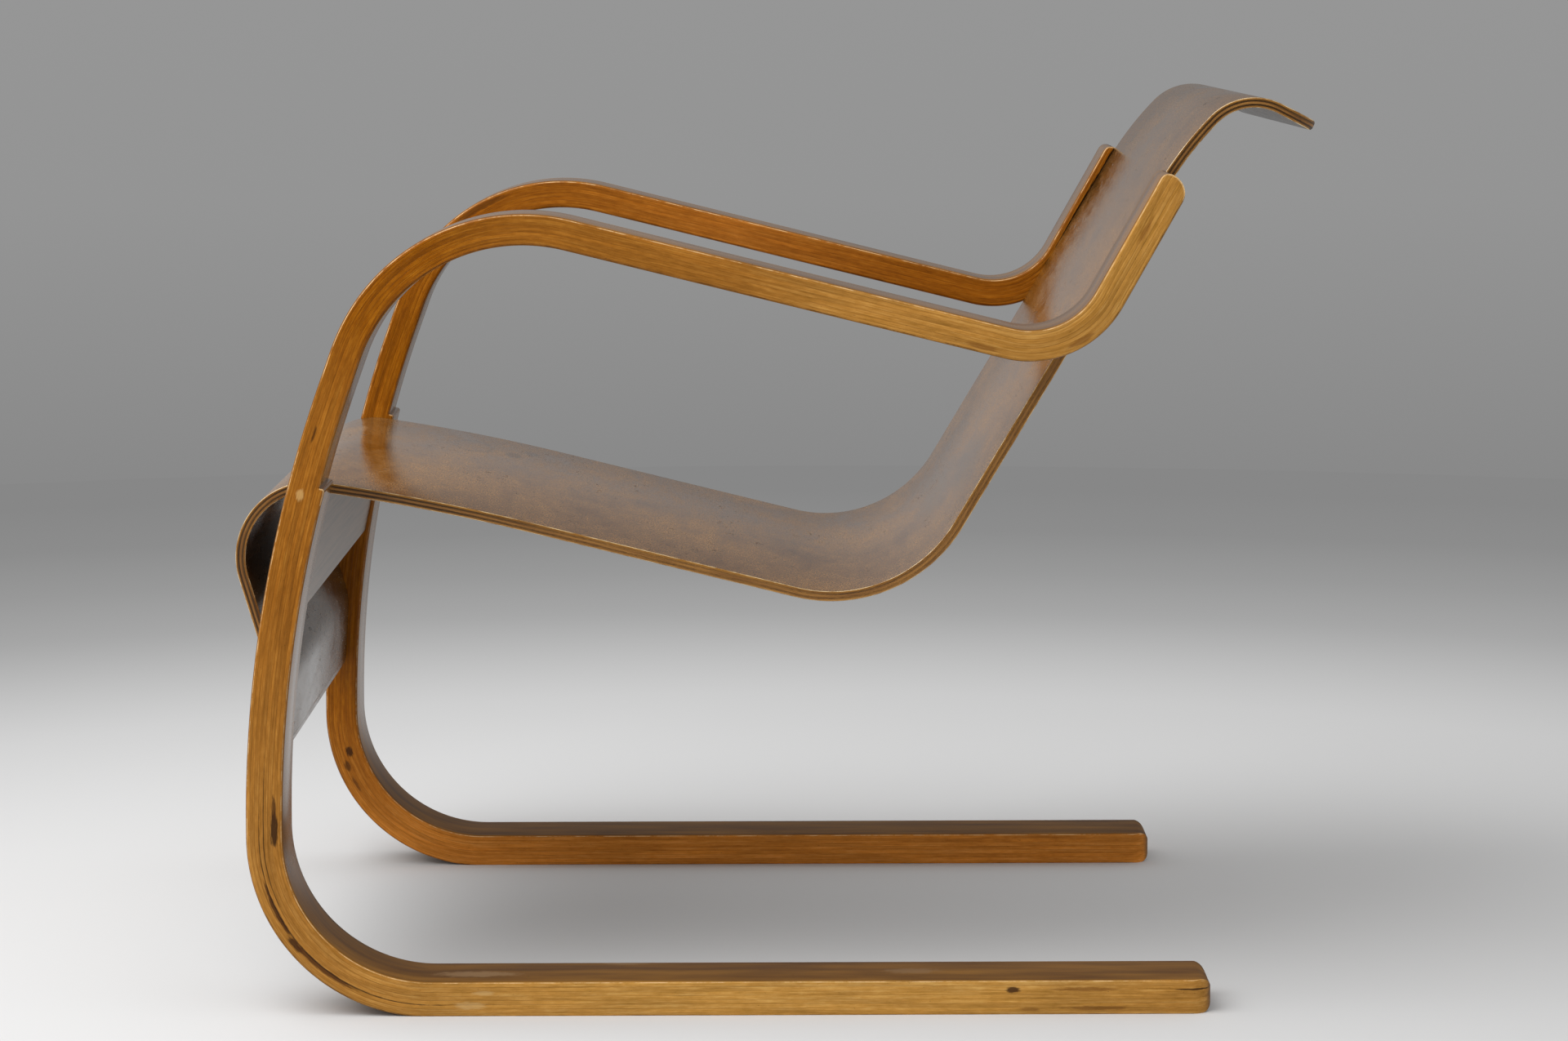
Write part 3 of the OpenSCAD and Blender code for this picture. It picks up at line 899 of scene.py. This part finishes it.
@dataclass(frozen=True)
class ShellVeneer(StripFinish):
    """Birch plywood's outer ply, varnished and darkened with age.

    The veneer is a clouded brown with fine broken scratches and open pores; its cut edge is golden brown,
    and its arris is rubbed pale, with a painted highlight along it.
    """

    name: str = "Varnished birch face ply"
    dark: str = "#6C461C"
    light: str = "#9A7040"
    pore: str = "#2A1A0C"
    edge: tuple[str, str] = ("#6E4418", "#AE7A36")
    # pale of the rubbed arris, which also stands for a painted highlight
    worn: str = "#ECD2A2"
    top_tone: float = 0.66
    top_fade: Span = (0.9, 1.06)  # metres along the shell
    roughness: float = 0.12
    uneven: tuple[Span, Span] = ((0.3, 0.7), (-0.05, 0.09))  # from the clouds, added to roughness
    dulled: float = 0.35
    relief: Span = (0.2, 0.3)  # its strength, and its height in millimetres
    marks: tuple[Mark, ...] = ()

    # broad clouds, mottle, and a fine grain of 1.1 by 4.5 mm
    clouds: Grain = Grain((70, 160, 20), 4.0)
    mottle: Grain = Grain((11, 40, 5), 5.0, 0.65)
    mottle_share: float = 0.42
    grain: Grain = Grain((1.1, 4.5, 3), 3.0, 0.7)
    grain_tone: tuple[Span, Span] = ((0.34, 0.66), (0.5, 1.35))
    # scratches: thin curved lines, broken short and gathered in places
    waves: Grain = Grain((12, 44, 9), 3.0, 0.55)
    line_edge: Span = (0.016, 0.005)
    breaks: Grain = Grain((6, 17, 5), 2.0, span=(0.52, 0.6))
    gathers: Grain = Grain((48, 110, 20), 2.0, span=(0.46, 0.66), share=(0.05, 0.6))
    # open pores: 1.6 by 6 mm specks
    pores: Grain = Grain((1.6, 6, 4), 2.0, 0.5, (0.61, 0.73))
    pore_strength: float = 0.35
    pit: float = -0.6
    # the cut edge's streaks, and the slow change along them
    streaks: Grain = Grain((26, 3, 0.5), 5.0)
    drifts: Grain = Grain((60, 40, 6), 3.0)
    wear: ArrisWearAndPaintedLight = ArrisWearAndPaintedLight(
        0.9, (0.8, 0.4), (0.3, 0.6), (0.88, 0.98),
        Grain((16, 30, 30), 5.0, 0.7, (0.36, 0.6), (0.1, 0.85)),
    )

    def surface(self, sheet: Sheet) -> None:
        """Add the nodes, from the wood up to the varnish."""
        self.start(sheet)
        self.find_sides(sheet)
        sheet.work_out(
            ("cloudy", "MIX", self.mottle_share, "clouds", "mottle"),
            ("wood", "RAMP", "cloudy", {"stops": tuple(zip(TWO_TONES, (self.dark, self.light)))}),
            ("tone", "SMOOTH", "grain", *self.grain_tone[0], *self.grain_tone[1]),
            ("wood", "SCALE", "wood", "tone"),
            ("wave", "SUBTRACT", "waves", 0.5),
            ("wave", "ABSOLUTE", "wave"),
            ("scratch", "SMOOTH", "wave", *self.line_edge),
            ("scratch", "MULTIPLY", "scratch", "breaks"),
            ("scratch", "MULTIPLY", "scratch", "gathers"),
            ("pitted", "MULTIPLY", "pores", self.pore_strength),
            ("pitted", "MAXIMUM", "scratch", "pitted"),
            ("wood", "BLEND", "pitted", "wood", self.pore),
        )
        for mark in self.marks:
            mark.lay(sheet)
        sheet.work_out(
            # the upper back is darker, where heads and hands rest
            ("aged", "SMOOTH", "parts.X", *self.top_fade, 1.0, self.top_tone),
            ("wood", "SCALE", "wood", "aged"),
            ("streaky", "MIX", 0.5, "streaks", "drifts"),
            ("cut", "RAMP", "streaky", {"stops": tuple(zip(TWO_TONES, self.edge))}),
            ("wood", "BLEND", "side", "wood", "cut"),
        )
        self.wear.lay(sheet, self.worn)
        # varnish: it sinks into the pores and scratches, which shine less
        span, change = self.uneven
        sheet.work_out(
            ("rough", "SMOOTH", "cloudy", *span, *(self.roughness + more for more in change)),
            ("rough", "MULTIPLY_ADD", "pitted", self.dulled, "rough"),
            ("pit", "MULTIPLY_ADD", "pitted", self.pit, "grain"),
        )
        strength, height = self.relief
        bump = {"Strength": strength, "Distance": height * MM, "Height": "pit"}
        sheet.add("bump", "ShaderNodeBump", bump)
        varnished = {"Base Color": "wood", "Roughness": "rough", "Normal": "bump", "IOR": VARNISH_IOR}
        sheet.add("shader", "ShaderNodeBsdfPrincipled", varnished)


FRAME_MARKS: dict[Side, tuple[Mark, ...]] = {
    Side.LEFT: (
        # a knot and two filled gaps in the foot's bend, and the open seams by them
        Mark(778, 31, 20.5, (15, 12, 3.4), "#2E1606", 0.9),
        Mark(794, 31, 20.3, (11, 12, 1.7), "#3E2009", 0.8),
        Mark(713, 31, 8.8, (26, 12, 1.9), "#43210A", 0.85),
        Mark(683, 31, 7.2, (9, 12, 2.8), "#3A1C08", 0.85),
        Mark(656, 31, 8.4, (36, 12, 2.1), "#4A260C", 0.8),
        Mark(665, 31, 9.6, (150, 12, 0.6), "#2E1A0A", 0.75),
        Mark(770, 31, 12.8, (75, 12, 0.5), "#2E1A0A", 0.7),
        # the base: rubbed patches, a knot, brown streaks and a split end
        Mark(536, 31, 8.9, (13, 12, 3.4), "#CFAC74", 0.5),
        Mark(526, 31, 18.2, (9, 12, 2.0), "#CFAC74", 0.45),
        Mark(533, 6, 26.5, (34, 10, 3.0), "#A58661", 0.5),
        Mark(426, -28, 26.5, (18, 7, 3.0), "#9C8160", 0.4),
        Mark(216, 0, 26.5, (22, 9, 3.0), "#957A5C", 0.35),
        Mark(144, 31, 19.4, (6, 12, 2.8), "#3E2009", 0.9),
        Mark(92, 31, 19.6, (24, 12, 1.8), "#7C4C18", 0.6),
        Mark(82, 31, 5.8, (26, 12, 2.0), "#6E4316", 0.6),
        Mark(132, 31, 5.0, (9, 12, 1.6), "#6E4316", 0.5),
        Mark(12, 31, 19.2, (20, 12, 0.8), "#2A1406", 0.85),
        # the leg and the elbow: a rubbed spot, a nick and small stains
        Mark(1026, 31, 10.2, (5, 12, 3.2), "#D8AE6C", 0.6),
        Mark(1072, 31, 8.2, (7, 12, 1.2), "#3A1E08", 0.7),
        Mark(1708, 31, 17.5, (9, 12, 2.6), "#6E3E12", 0.55),
        Mark(1650, 31, 18.0, (13, 12, 2.4), "#7C4C1C", 0.5),
        Mark(1790, 31, 9.0, (12, 12, 2.2), "#7C4A16", 0.5),
    ),
    Side.RIGHT: (
        Mark(734, 31, 14.7, (6, 12, 3.4), "#2A1406", 0.85),
        Mark(722, 31, 9.2, (6, 12, 3.0), "#3A1E08", 0.7),
        Mark(704, 31, 8.7, (9, 12, 1.5), "#4A260C", 0.6),
        Mark(1236, 31, 4.5, (30, 12, 3.0), "#4A260C", 0.5),
        # painted shadow in the gap where the shell passes the tail
        Mark(1764, 31, 5.4, (52, 12, 1.3), "#160A02", 0.95),
        Mark(1812, 31, 6.6, (40, 12, 1.3), "#160A02", 0.95),
    ),
}
# painted light and shade: the right frame's inner side is redder all along, and gets its own run from pale
# to deep, paler on the dim base and deeper on the shaded leg
RIGHT_PALE_FOR_PAINTED_LIGHT = ("#AC641A", "#C87C2A", "#D89044")
RIGHT_DEEPENING_WITH_PAINTED_LIGHT_AND_SHADE = (
    (0.0, "#000000"), (560.0, "#000000"), (640.0, "#595959"), (705.0, "#CBCBCB"), (780.0, "#FFFFFF"),
    (1010.0, "#EDEDED"), (1080.0, "#FFFFFF"), (1230.0, "#F8F8F8"), (1310.0, "#EDEDED"), (1460.0, "#AAAAAA"),
    (1540.0, "#DADADA"), (1610.0, "#F2F2F2"), (1834.0, "#EAEAEA"),
)
SHELL_MARKS: tuple[Mark, ...] = (
    Mark(333, -146, 0, (15, 34, 4), "#3A2A1C", 0.45, ring=True),
    Mark(367, -138, 0, (8, 20, 4), "#4A3A30", 0.6),
    Mark(380, -174, 0, (7, 15, 4), "#4A3A30", 0.5),
    # painted amber light and reflection from the frames' tails, on the shell beside them
    Mark(950, 236, 0, (150, 100, 8), "#9C6A28", 0.35),
    Mark(950, -236, 0, (150, 100, 8), "#9C662A", 0.3),
    # a painted reflection: a grey band across the bend
    Mark(768, 96, 0, (26, 90, 8), "#564A40", 0.4),
    Mark(726, -20, 0, (24, 90, 8), "#564A40", 0.35),
)


@dataclass(frozen=True)
class PlyEdge(StripFinish):
    """The cut edge of an inner ply, varnished.

    A cross ply shows its end grain, which drinks the varnish and goes dark;
    the core shows long grain like the faces and stays golden. Hands have aged
    the seat's front and the upper back.
    """

    dark: str
    light: str
    along: float
    aged: float = 1.0
    roughness: float = 0.35
    drifts: Grain = Grain((55, 40, 4), 3.0)
    front_fade: Span = (0.48, 0.32)  # metres along the shell
    top_fade: Span = (0.96, 1.03)

    def surface(self, sheet: Sheet) -> None:
        """Add the nodes up to the shader."""
        self.start(sheet)
        Grain((self.along, 4, 0.8), 5.0).lay(sheet, "streaks")
        sheet.work_out(
            ("streaky", "MIX", 0.5, "streaks", "drifts"),
            ("wood", "RAMP", "streaky", {"stops": tuple(zip(TWO_TONES, (self.dark, self.light)))}),
            ("front", "SMOOTH", "parts.X", *self.front_fade, 1.0, self.aged),
            ("top", "SMOOTH", "parts.X", *self.top_fade, 1.0, self.aged),
            ("tone", "MINIMUM", "front", "top"),
            ("wood", "SCALE", "wood", "tone"),
        )
        varnished = {"Base Color": "wood", "Roughness": self.roughness, "IOR": VARNISH_IOR}
        sheet.add("shader", "ShaderNodeBsdfPrincipled", varnished)


@dataclass(frozen=True)
class BoardBirch(Finish):
    """Solid birch board, planed and lacquered, with its grain across the chair."""

    name: str = "Lacquered birch board"
    tones: Stops = ((0.35, "#5E452C"), (0.65, "#7F6244"))
    roughness: float = 0.3
    grain: Triple = (120, 3, 3)  # one feature along, across and into the board

    def surface(self, sheet: Sheet) -> None:
        """Add the nodes up to the shader."""
        sheet.add("spot", "ShaderNodeTexCoord")
        counts = tuple(PER_METRE / size for size in self.grain)
        sheet.work_out(("grain", "STRETCH", "spot.Object", counts))
        figure = {"Vector": "grain", "Scale": 1.0, "Detail": 5.0, "Roughness": 0.6}
        sheet.add("figure", "ShaderNodeTexNoise", figure)
        sheet.work_out(("wood", "RAMP", "figure", {"stops": self.tones}))
        bump = {"Strength": 0.2, "Distance": 0.2 * MM, "Height": "figure"}
        sheet.add("bump", "ShaderNodeBump", bump)
        lacquered = {"Base Color": "wood", "Roughness": self.roughness, "Normal": "bump"}
        sheet.add("shader", "ShaderNodeBsdfPrincipled", {**lacquered, "IOR": VARNISH_IOR})


@dataclass(frozen=True)
class PlatedSteel(Finish):
    """Zinc-plated steel screws, turned and a little dull."""

    name: str = "Zinc-plated steel"
    tones: Stops = ((0.3, "#7E8082"), (0.7, "#B4B6B8"))
    roughness: float = 0.38
    mottles: float = 900.0  # in a metre

    def surface(self, sheet: Sheet) -> None:
        """Add the nodes up to the shader."""
        sheet.add("spot", "ShaderNodeTexCoord")
        mottle = {"Vector": "spot.Object", "Scale": self.mottles, "Detail": 3.0}
        sheet.add("mottle", "ShaderNodeTexNoise", mottle)
        sheet.work_out(("metal", "RAMP", "mottle", {"stops": self.tones}))
        plated = {"Base Color": "metal", "Metallic": 1.0, "Roughness": self.roughness}
        sheet.add("shader", "ShaderNodeBsdfPrincipled", plated)


# ---- sub-assemblies ----


@dataclass
class SideFrame:
    """One side frame: seven long laminations and a short inner one."""

    side: Side
    centre: float = 315.408
    offset: float = 269.0
    width: float = 62.0
    lamination: float = 3.2
    laminations: int = 7
    inner: float = 4.1
    sole_trim: float = 1.2
    arris: float = 2.4
    glued_arris: float = 0.12
    base: float = 564.0
    foot_radius: float = 132.0
    leg_radius: float = 960.0
    leg_lean: float = 20.0
    inner_reach: float = 15.7
    leg_top: float = 26.2
    shoulder: Piece = Piece(145.0, 84.0)
    arm: float = 321.638
    elbow: Piece = Piece(53.0, -74.6)
    tail: float = 98.5
    base_end: End = End(depth=26.5, plan=15.0, near=7.0, far=9.0, lift=1.2)
    tail_end: End = End(depth=22.4, near=7.0, far=14.5)

    RIGHT_LAYERS: ClassVar[int] = 20

    def path(self) -> Path:
        """The frame's outer face, from the base's back end to the arm's tail."""
        return Path(
            Pose(0.0, -self.sole_trim, 180.0),
            (
                Piece(self.base), Piece(self.foot_radius, 90.0), Piece(self.leg_radius, self.leg_lean),
                Piece(self.leg_top), self.shoulder, Piece(self.arm), self.elbow, Piece(self.tail),
            ),
        )

    def build(self, tree: StripTree, finish: Material) -> None:
        """Lay the laminations from the outer face inwards.

        Args:
            tree: the strip maker.
            finish: the laminate's material.
        """
        label = self.side.name.lower()
        first_layer = 0 if self.side is Side.LEFT else self.RIGHT_LAYERS
        thick = self.laminations * self.lamination
        whole = thick + self.inner
        foot, leg = Piece(self.foot_radius, 90.0), Piece(self.leg_radius, self.inner_reach)
        step = self.base + foot.length + leg.length
        bar = Bar(self.path(), self.base_end, self.tail_end, self.side.value * self.offset, self.centre)
        low = replace(bar, path=bar.path.cut(step), end=End(depth=whole, far=self.inner / 2))
        for k in range(1, self.laminations + 1):
            first, last = k == 1, k == self.laminations
            strip = Strip(
                (k - 1) * self.lamination, k * self.lamination, self.width,
                self.arris if first else self.glued_arris, self.arris if last else self.glued_arris,
            )
            node = f"{label}_frame_lamination_{k}"
            reach = step if last else 0.0
            self._keep(tree.lay(node, strip, bar, first_layer + k, finish, step, reach), node)
        strip = Strip(thick, whole, self.width, self.glued_arris, self.arris)
        node = f"{label}_frame_inner_lamination"
        layer = first_layer + self.laminations + 1
        self._keep(tree.lay(node, strip, low, layer, finish, step + 1), node)

    def _keep(self, piece: bpy.types.Object, node: str) -> None:
        """Let a dressed piece stand for its CAD node."""
        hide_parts(node)
        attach(piece, "root")


class Ply(Enum):
    """The shell's plies, from the sitter's face to the back."""

    FACE = "shell_face_ply"
    FRONT_CROSS = "shell_front_cross_ply"
    CORE = "shell_core_ply"
    BACK_CROSS = "shell_back_cross_ply"
    BACK = "shell_back_ply"


@dataclass
class Shell:
    """The one-piece moulded plywood shell."""

    centre: float = 315.408
    width: float = 472.0
    ply: float = 1.5
    arris: float = 0.9
    glued_arris: float = 0.05
    start: Pose = Pose(-685.661, 176.381, 85.9262)
    tail: float = 44.0
    tail_turn: Piece = Piece(55.0, -20.5)
    rise: float = 73.5
    scroll: Piece = Piece(56.2, 114.826)
    seat_front: Piece = Piece(1540.0, 5.6)
    seat: float = 203.1
    seat_bend: Piece = Piece(104.0, -73.1)
    back: float = 287.0
    upper_back: Piece = Piece(254.0, 13.5)
    roll: Piece = Piece(44.2, 72.5)
    lip: float = 30.2
    tail_end: End = End(depth=7.5, plan=8.0, near=0.9, far=0.9)
    lip_end: End = End(depth=7.5, plan=24.0, near=3.5, far=3.5)

    LAYERS: ClassVar[int] = 40

    def path(self) -> Path:
        """The sitter's face, from the tail's lower edge up to the lip."""
        return Path(
            self.start,
            (
                Piece(self.tail), self.tail_turn, Piece(self.rise), self.scroll, self.seat_front,
                Piece(self.seat), self.seat_bend, Piece(self.back), self.upper_back, self.roll,
                Piece(self.lip),
            ),
        )

    def build(self, tree: StripTree, finishes: dict[Ply, Material]) -> None:
        """Lay the plies from the sitter's face to the back.

        Args:
            tree: the strip maker.
            finishes: a material for each ply.
        """
        bar = Bar(self.path(), self.tail_end, self.lip_end, 0.0, self.centre)
        for k, role in enumerate(Ply):
            strip = Strip(
                k * self.ply, (k + 1) * self.ply, self.width,
                self.arris if role is Ply.FACE else self.glued_arris,
                self.arris if role is Ply.BACK else self.glued_arris,
            )
            piece = tree.lay(role.value, strip, bar, self.LAYERS + k, finishes[role])
            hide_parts(role.value)
            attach(piece, "root")


@dataclass
class Crossbars:
    """The three boards that tie the frames together and carry the shell."""

    nodes: tuple[str, ...] = ("upper_front_crossbar", "lower_front_crossbar", "back_crossrail")
    arris: float = 0.8

    WELD: ClassVar[float] = 1e-6  # metres between points that are one
    FLAT: ClassVar[float] = math.radians(2)
    SHARP: ClassVar[float] = math.radians(40)
    SEGMENTS: ClassVar[int] = 3

    def build(self, finish: Material) -> None:
        """Ease a merged copy of each board's solid.

        Args:
            finish: the boards' material.
        """
        for node in self.nodes:
            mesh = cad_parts[node].data.copy()
            mesh.name = node + "_dressed"
            work = bmesh.new()
            work.from_mesh(mesh)
            bmesh.ops.remove_doubles(work, verts=work.verts, dist=self.WELD)
            bmesh.ops.dissolve_limit(work, angle_limit=self.FLAT, verts=work.verts, edges=work.edges)
            work.to_mesh(mesh)
            work.free()
            mesh.materials.clear()
            mesh.materials.append(finish)
            piece = link_object(node + "_dressed", mesh)
            bevel = piece.modifiers.new("Eased arris", "BEVEL")
            bevel.width = self.arris * MM
            bevel.segments = self.SEGMENTS
            bevel.limit_method = "ANGLE"
            bevel.angle_limit = self.SHARP
            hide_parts(node)
            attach(piece, "root")
            log.info("%s: %d faces", piece.name, len(mesh.polygons))


@dataclass
class Fixings:
    """Dowels in the crossbars' ends and countersunk screws into the shell."""

    dowels: tuple[str, ...] = ("upper_crossbar_dowels", "lower_crossbar_dowels", "back_crossrail_dowels")
    screws: tuple[str, ...] = ("lower_crossbar_screws", "back_crossrail_screws")

    def build(self, wood: Material, steel: Material) -> None:
        """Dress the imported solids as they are.

        Args:
            wood: the dowels' material.
            steel: the screws' material.
        """
        for nodes, finish in ((self.dowels, wood), (self.screws, steel)):
            for node in nodes:
                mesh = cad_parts[node].data
                mesh.materials.clear()
                mesh.materials.append(finish)
                log.info("%s: dressed as packed", node)


# ---- the studio ----


@dataclass(frozen=True)
class FloorPaint(Finish):
    """Pale studio paint, which fades to the wall's grey away from the chair.

    Only the camera, gloss and glass see the fade; other rays meet the paint.
    """

    name: str = "Painted studio floor"
    radius: float = 3.3
    paint: str = "#DDDDDD"
    fade: Span = (0.5, 1.8)  # metres from the middle
    greys: Stops = (
        (0.34, "#C3C3C3"), (0.52, "#A6A6A6"), (0.63, "#989898"), (0.755, "#8C8C8C"), (0.9, "#878787"),
    )

    def surface(self, sheet: Sheet) -> None:
        """Add the nodes up to the shader."""
        sheet.add("spot", "ShaderNodeTexCoord")
        sheet.add("ray", "ShaderNodeLightPath")
        sheet.work_out(
            ("out", "LENGTH", "spot.Object"),
            ("share", "MULTIPLY", "out", 1 / self.radius),
            ("grey", "RAMP", "share", {"stops": self.greys}),
            ("seen", "MAXIMUM", "ray.Is Camera Ray", "ray.Is Glossy Ray"),
            ("seen", "MAXIMUM", "seen", "ray.Is Transmission Ray"),
            ("fade", "SMOOTH", "out", *self.fade),
            ("fade", "MULTIPLY", "fade", "seen"),
        )
        sheet.add("painted", "ShaderNodeBsdfDiffuse", {"Color": self.paint})
        sheet.add("faded", "ShaderNodeEmission", {"Color": "grey"})
        sheet.work_out(("shader", "OVER", "fade", "painted", "faded"))


@dataclass(frozen=True)
class Softbox:
    """One square softbox: its middle, the point it faces, its side and watts."""

    name: str
    place: Triple
    aim: Triple
    size: float
    watts: float


@dataclass
class Studio:
    """A pale floor that fades into a grey wall, soft light, and the camera."""

    camera_place: Triple = (3.3018, 0.0098, 0.7327)
    pitch: float = 0.1234
    yaw: float = 0.0008
    roll: float = -0.0037
    lens: float = 97.5
    floor: FloorPaint = FloorPaint()
    ambient: float = 0.63
    wall: Stops = ((0.0, "#878787"), (0.3, "#8E8E8E"), (0.6, "#949494"), (1.0, "#969696"))
    wall_fade: Span = (-0.12, 0.0)
    # what gloss mirrors: a wall that is paler towards the chair's front, and a
    # dark room behind the camera
    mirrored_wall: tuple[str, str] = ("#868686", "#AAAAAA")
    front_fade: Span = (0.1, -0.3)
    room: str = "#1A1A1A"
    room_fade: Span = (0.55, -0.35)
    softboxes: tuple[Softbox, ...] = (
        Softbox("Overhead softbox", (0.8, -1.25, 2.1), (0.0, 0.0, 0.1), 2.2, 48.0),
    )

    FACETS: ClassVar[int] = 128
    SENSOR: ClassVar[float] = 36.0
    CLIP: ClassVar[Span] = (0.05, 50.0)

    def build(self) -> None:
        """Make the floor, the lamps, the world and the camera."""
        self._floor()
        self._world()
        for box in self.softboxes:
            self._lamp(box)
        self._camera()
        bpy.context.scene.view_settings.view_transform = "Standard"

    def _floor(self) -> None:
        """A round floor, painted."""
        mesh = bpy.data.meshes.new("studio_floor")
        work = bmesh.new()
        bmesh.ops.create_circle(work, cap_ends=True, segments=self.FACETS, radius=self.floor.radius)
        work.to_mesh(mesh)
        work.free()
        mesh.materials.append(self.floor.material())
        link_object("studio_floor", mesh)

    def _world(self) -> None:
        """Soft grey light all round, a grey wall, and a dark room behind."""
        world = bpy.data.worlds.new("Grey studio")
        bpy.context.scene.world = world
        world.use_nodes = True
        sheet = Sheet(world.node_tree)
        sheet.add("way", "ShaderNodeTexCoord")
        sheet.add("ray", "ShaderNodeLightPath")
        sheet.work_out(
            ("way", "SPLIT", "way.Generated"),
            ("height", "RANGE", "way.Z", *self.wall_fade),
            ("wall", "RAMP", "height", {"stops": self.wall}),
            ("front", "SMOOTH", "way.Y", *self.front_fade),
            ("room", "BLEND", "front", *self.mirrored_wall),
            ("toward", "SMOOTH", "way.X", *self.room_fade),
            ("room", "BLEND", "toward", self.room, "room"),
            ("sharp", "MAXIMUM", "ray.Is Glossy Ray", "ray.Is Transmission Ray"),
        )
        for name, colour, strength in (
            ("seen", "wall", 1.0), ("mirrored", "room", 1.0), ("light", "#FFFFFF", self.ambient),
        ):
            sheet.add(name, "ShaderNodeBackground", {"Color": colour, "Strength": strength})
        sheet.work_out(
            ("gloss", "OVER", "sharp", "light", "mirrored"),
            ("both", "OVER", "ray.Is Camera Ray", "gloss", "seen"),
        )
        sheet.add("output", "ShaderNodeOutputWorld", {"Surface": "both"})

    def _lamp(self, box: Softbox) -> None:
        """Hang one softbox."""
        data = bpy.data.lights.new(box.name, "AREA")
        data.shape, data.size, data.energy = "SQUARE", box.size, box.watts
        lamp = bpy.data.objects.new(box.name, data)
        lamp.location = box.place
        lamp.rotation_euler = (Vector(box.aim) - Vector(box.place)).to_track_quat("-Z", "Y").to_euler()
        bpy.context.scene.collection.objects.link(lamp)

    def _camera(self) -> None:
        """The camera, looking across the chair from its left side."""
        data = bpy.data.cameras.new("Camera")
        data.lens, data.sensor_width, data.sensor_fit = self.lens, self.SENSOR, "HORIZONTAL"
        data.clip_start, data.clip_end = self.CLIP
        camera = bpy.data.objects.new("Camera", data)
        level = math.cos(self.pitch)
        ahead = Vector((-level * math.cos(self.yaw), -level * math.sin(self.yaw), -math.sin(self.pitch)))
        right = ahead.cross(Vector((0, 0, 1))).normalized()
        up = right.cross(ahead)
        c, s = math.cos(self.roll), math.sin(self.roll)
        right, up = right * c + up * s, up * c - right * s
        turn = Matrix((right, up, -ahead)).transposed()
        camera.matrix_world = Matrix.Translation(self.camera_place) @ turn.to_4x4()
        bpy.context.scene.collection.objects.link(camera)
        bpy.context.scene.camera = camera


def main() -> None:
    """Build the chair and its studio, in order."""
    logging.basicConfig(level=logging.INFO, format="%(name)s %(message)s", stream=sys.stdout)
    tree = StripTree()
    face = ShellVeneer(marks=SHELL_MARKS).material()
    back = ShellVeneer("Varnished birch back ply", dark="#4A341A", light="#6C5030", roughness=0.18)
    cross = PlyEdge("Cross ply end grain", "#5C3A10", "#946628", along=3.0, aged=0.4).material()
    core = PlyEdge("Core ply long grain", "#6E4418", "#AE7A36", along=40.0).material()
    plies = {Ply.FACE: face, Ply.FRONT_CROSS: cross, Ply.CORE: core, Ply.BACK_CROSS: cross}
    plies[Ply.BACK] = back.material()
    for side in Side:
        label = f"Lacquered birch laminate, {side.name.lower()} frame"
        finish = BirchLaminate(label, marks=FRAME_MARKS[side])
        if side is Side.RIGHT:
            # the right frame: a copy of the laminate with painted light and shade for its dimly lit inner
            # side
            finish = replace(finish, pale=RIGHT_PALE_FOR_PAINTED_LIGHT, varnish=RIGHT_DEEPENING_WITH_PAINTED_LIGHT_AND_SHADE)
        SideFrame(side).build(tree, finish.material())
    Shell().build(tree, plies)
    board = BoardBirch().material()
    Crossbars().build(board)
    Fixings().build(board, PlatedSteel().material())
    Studio().build()


if __name__ == "__main__":
    main()
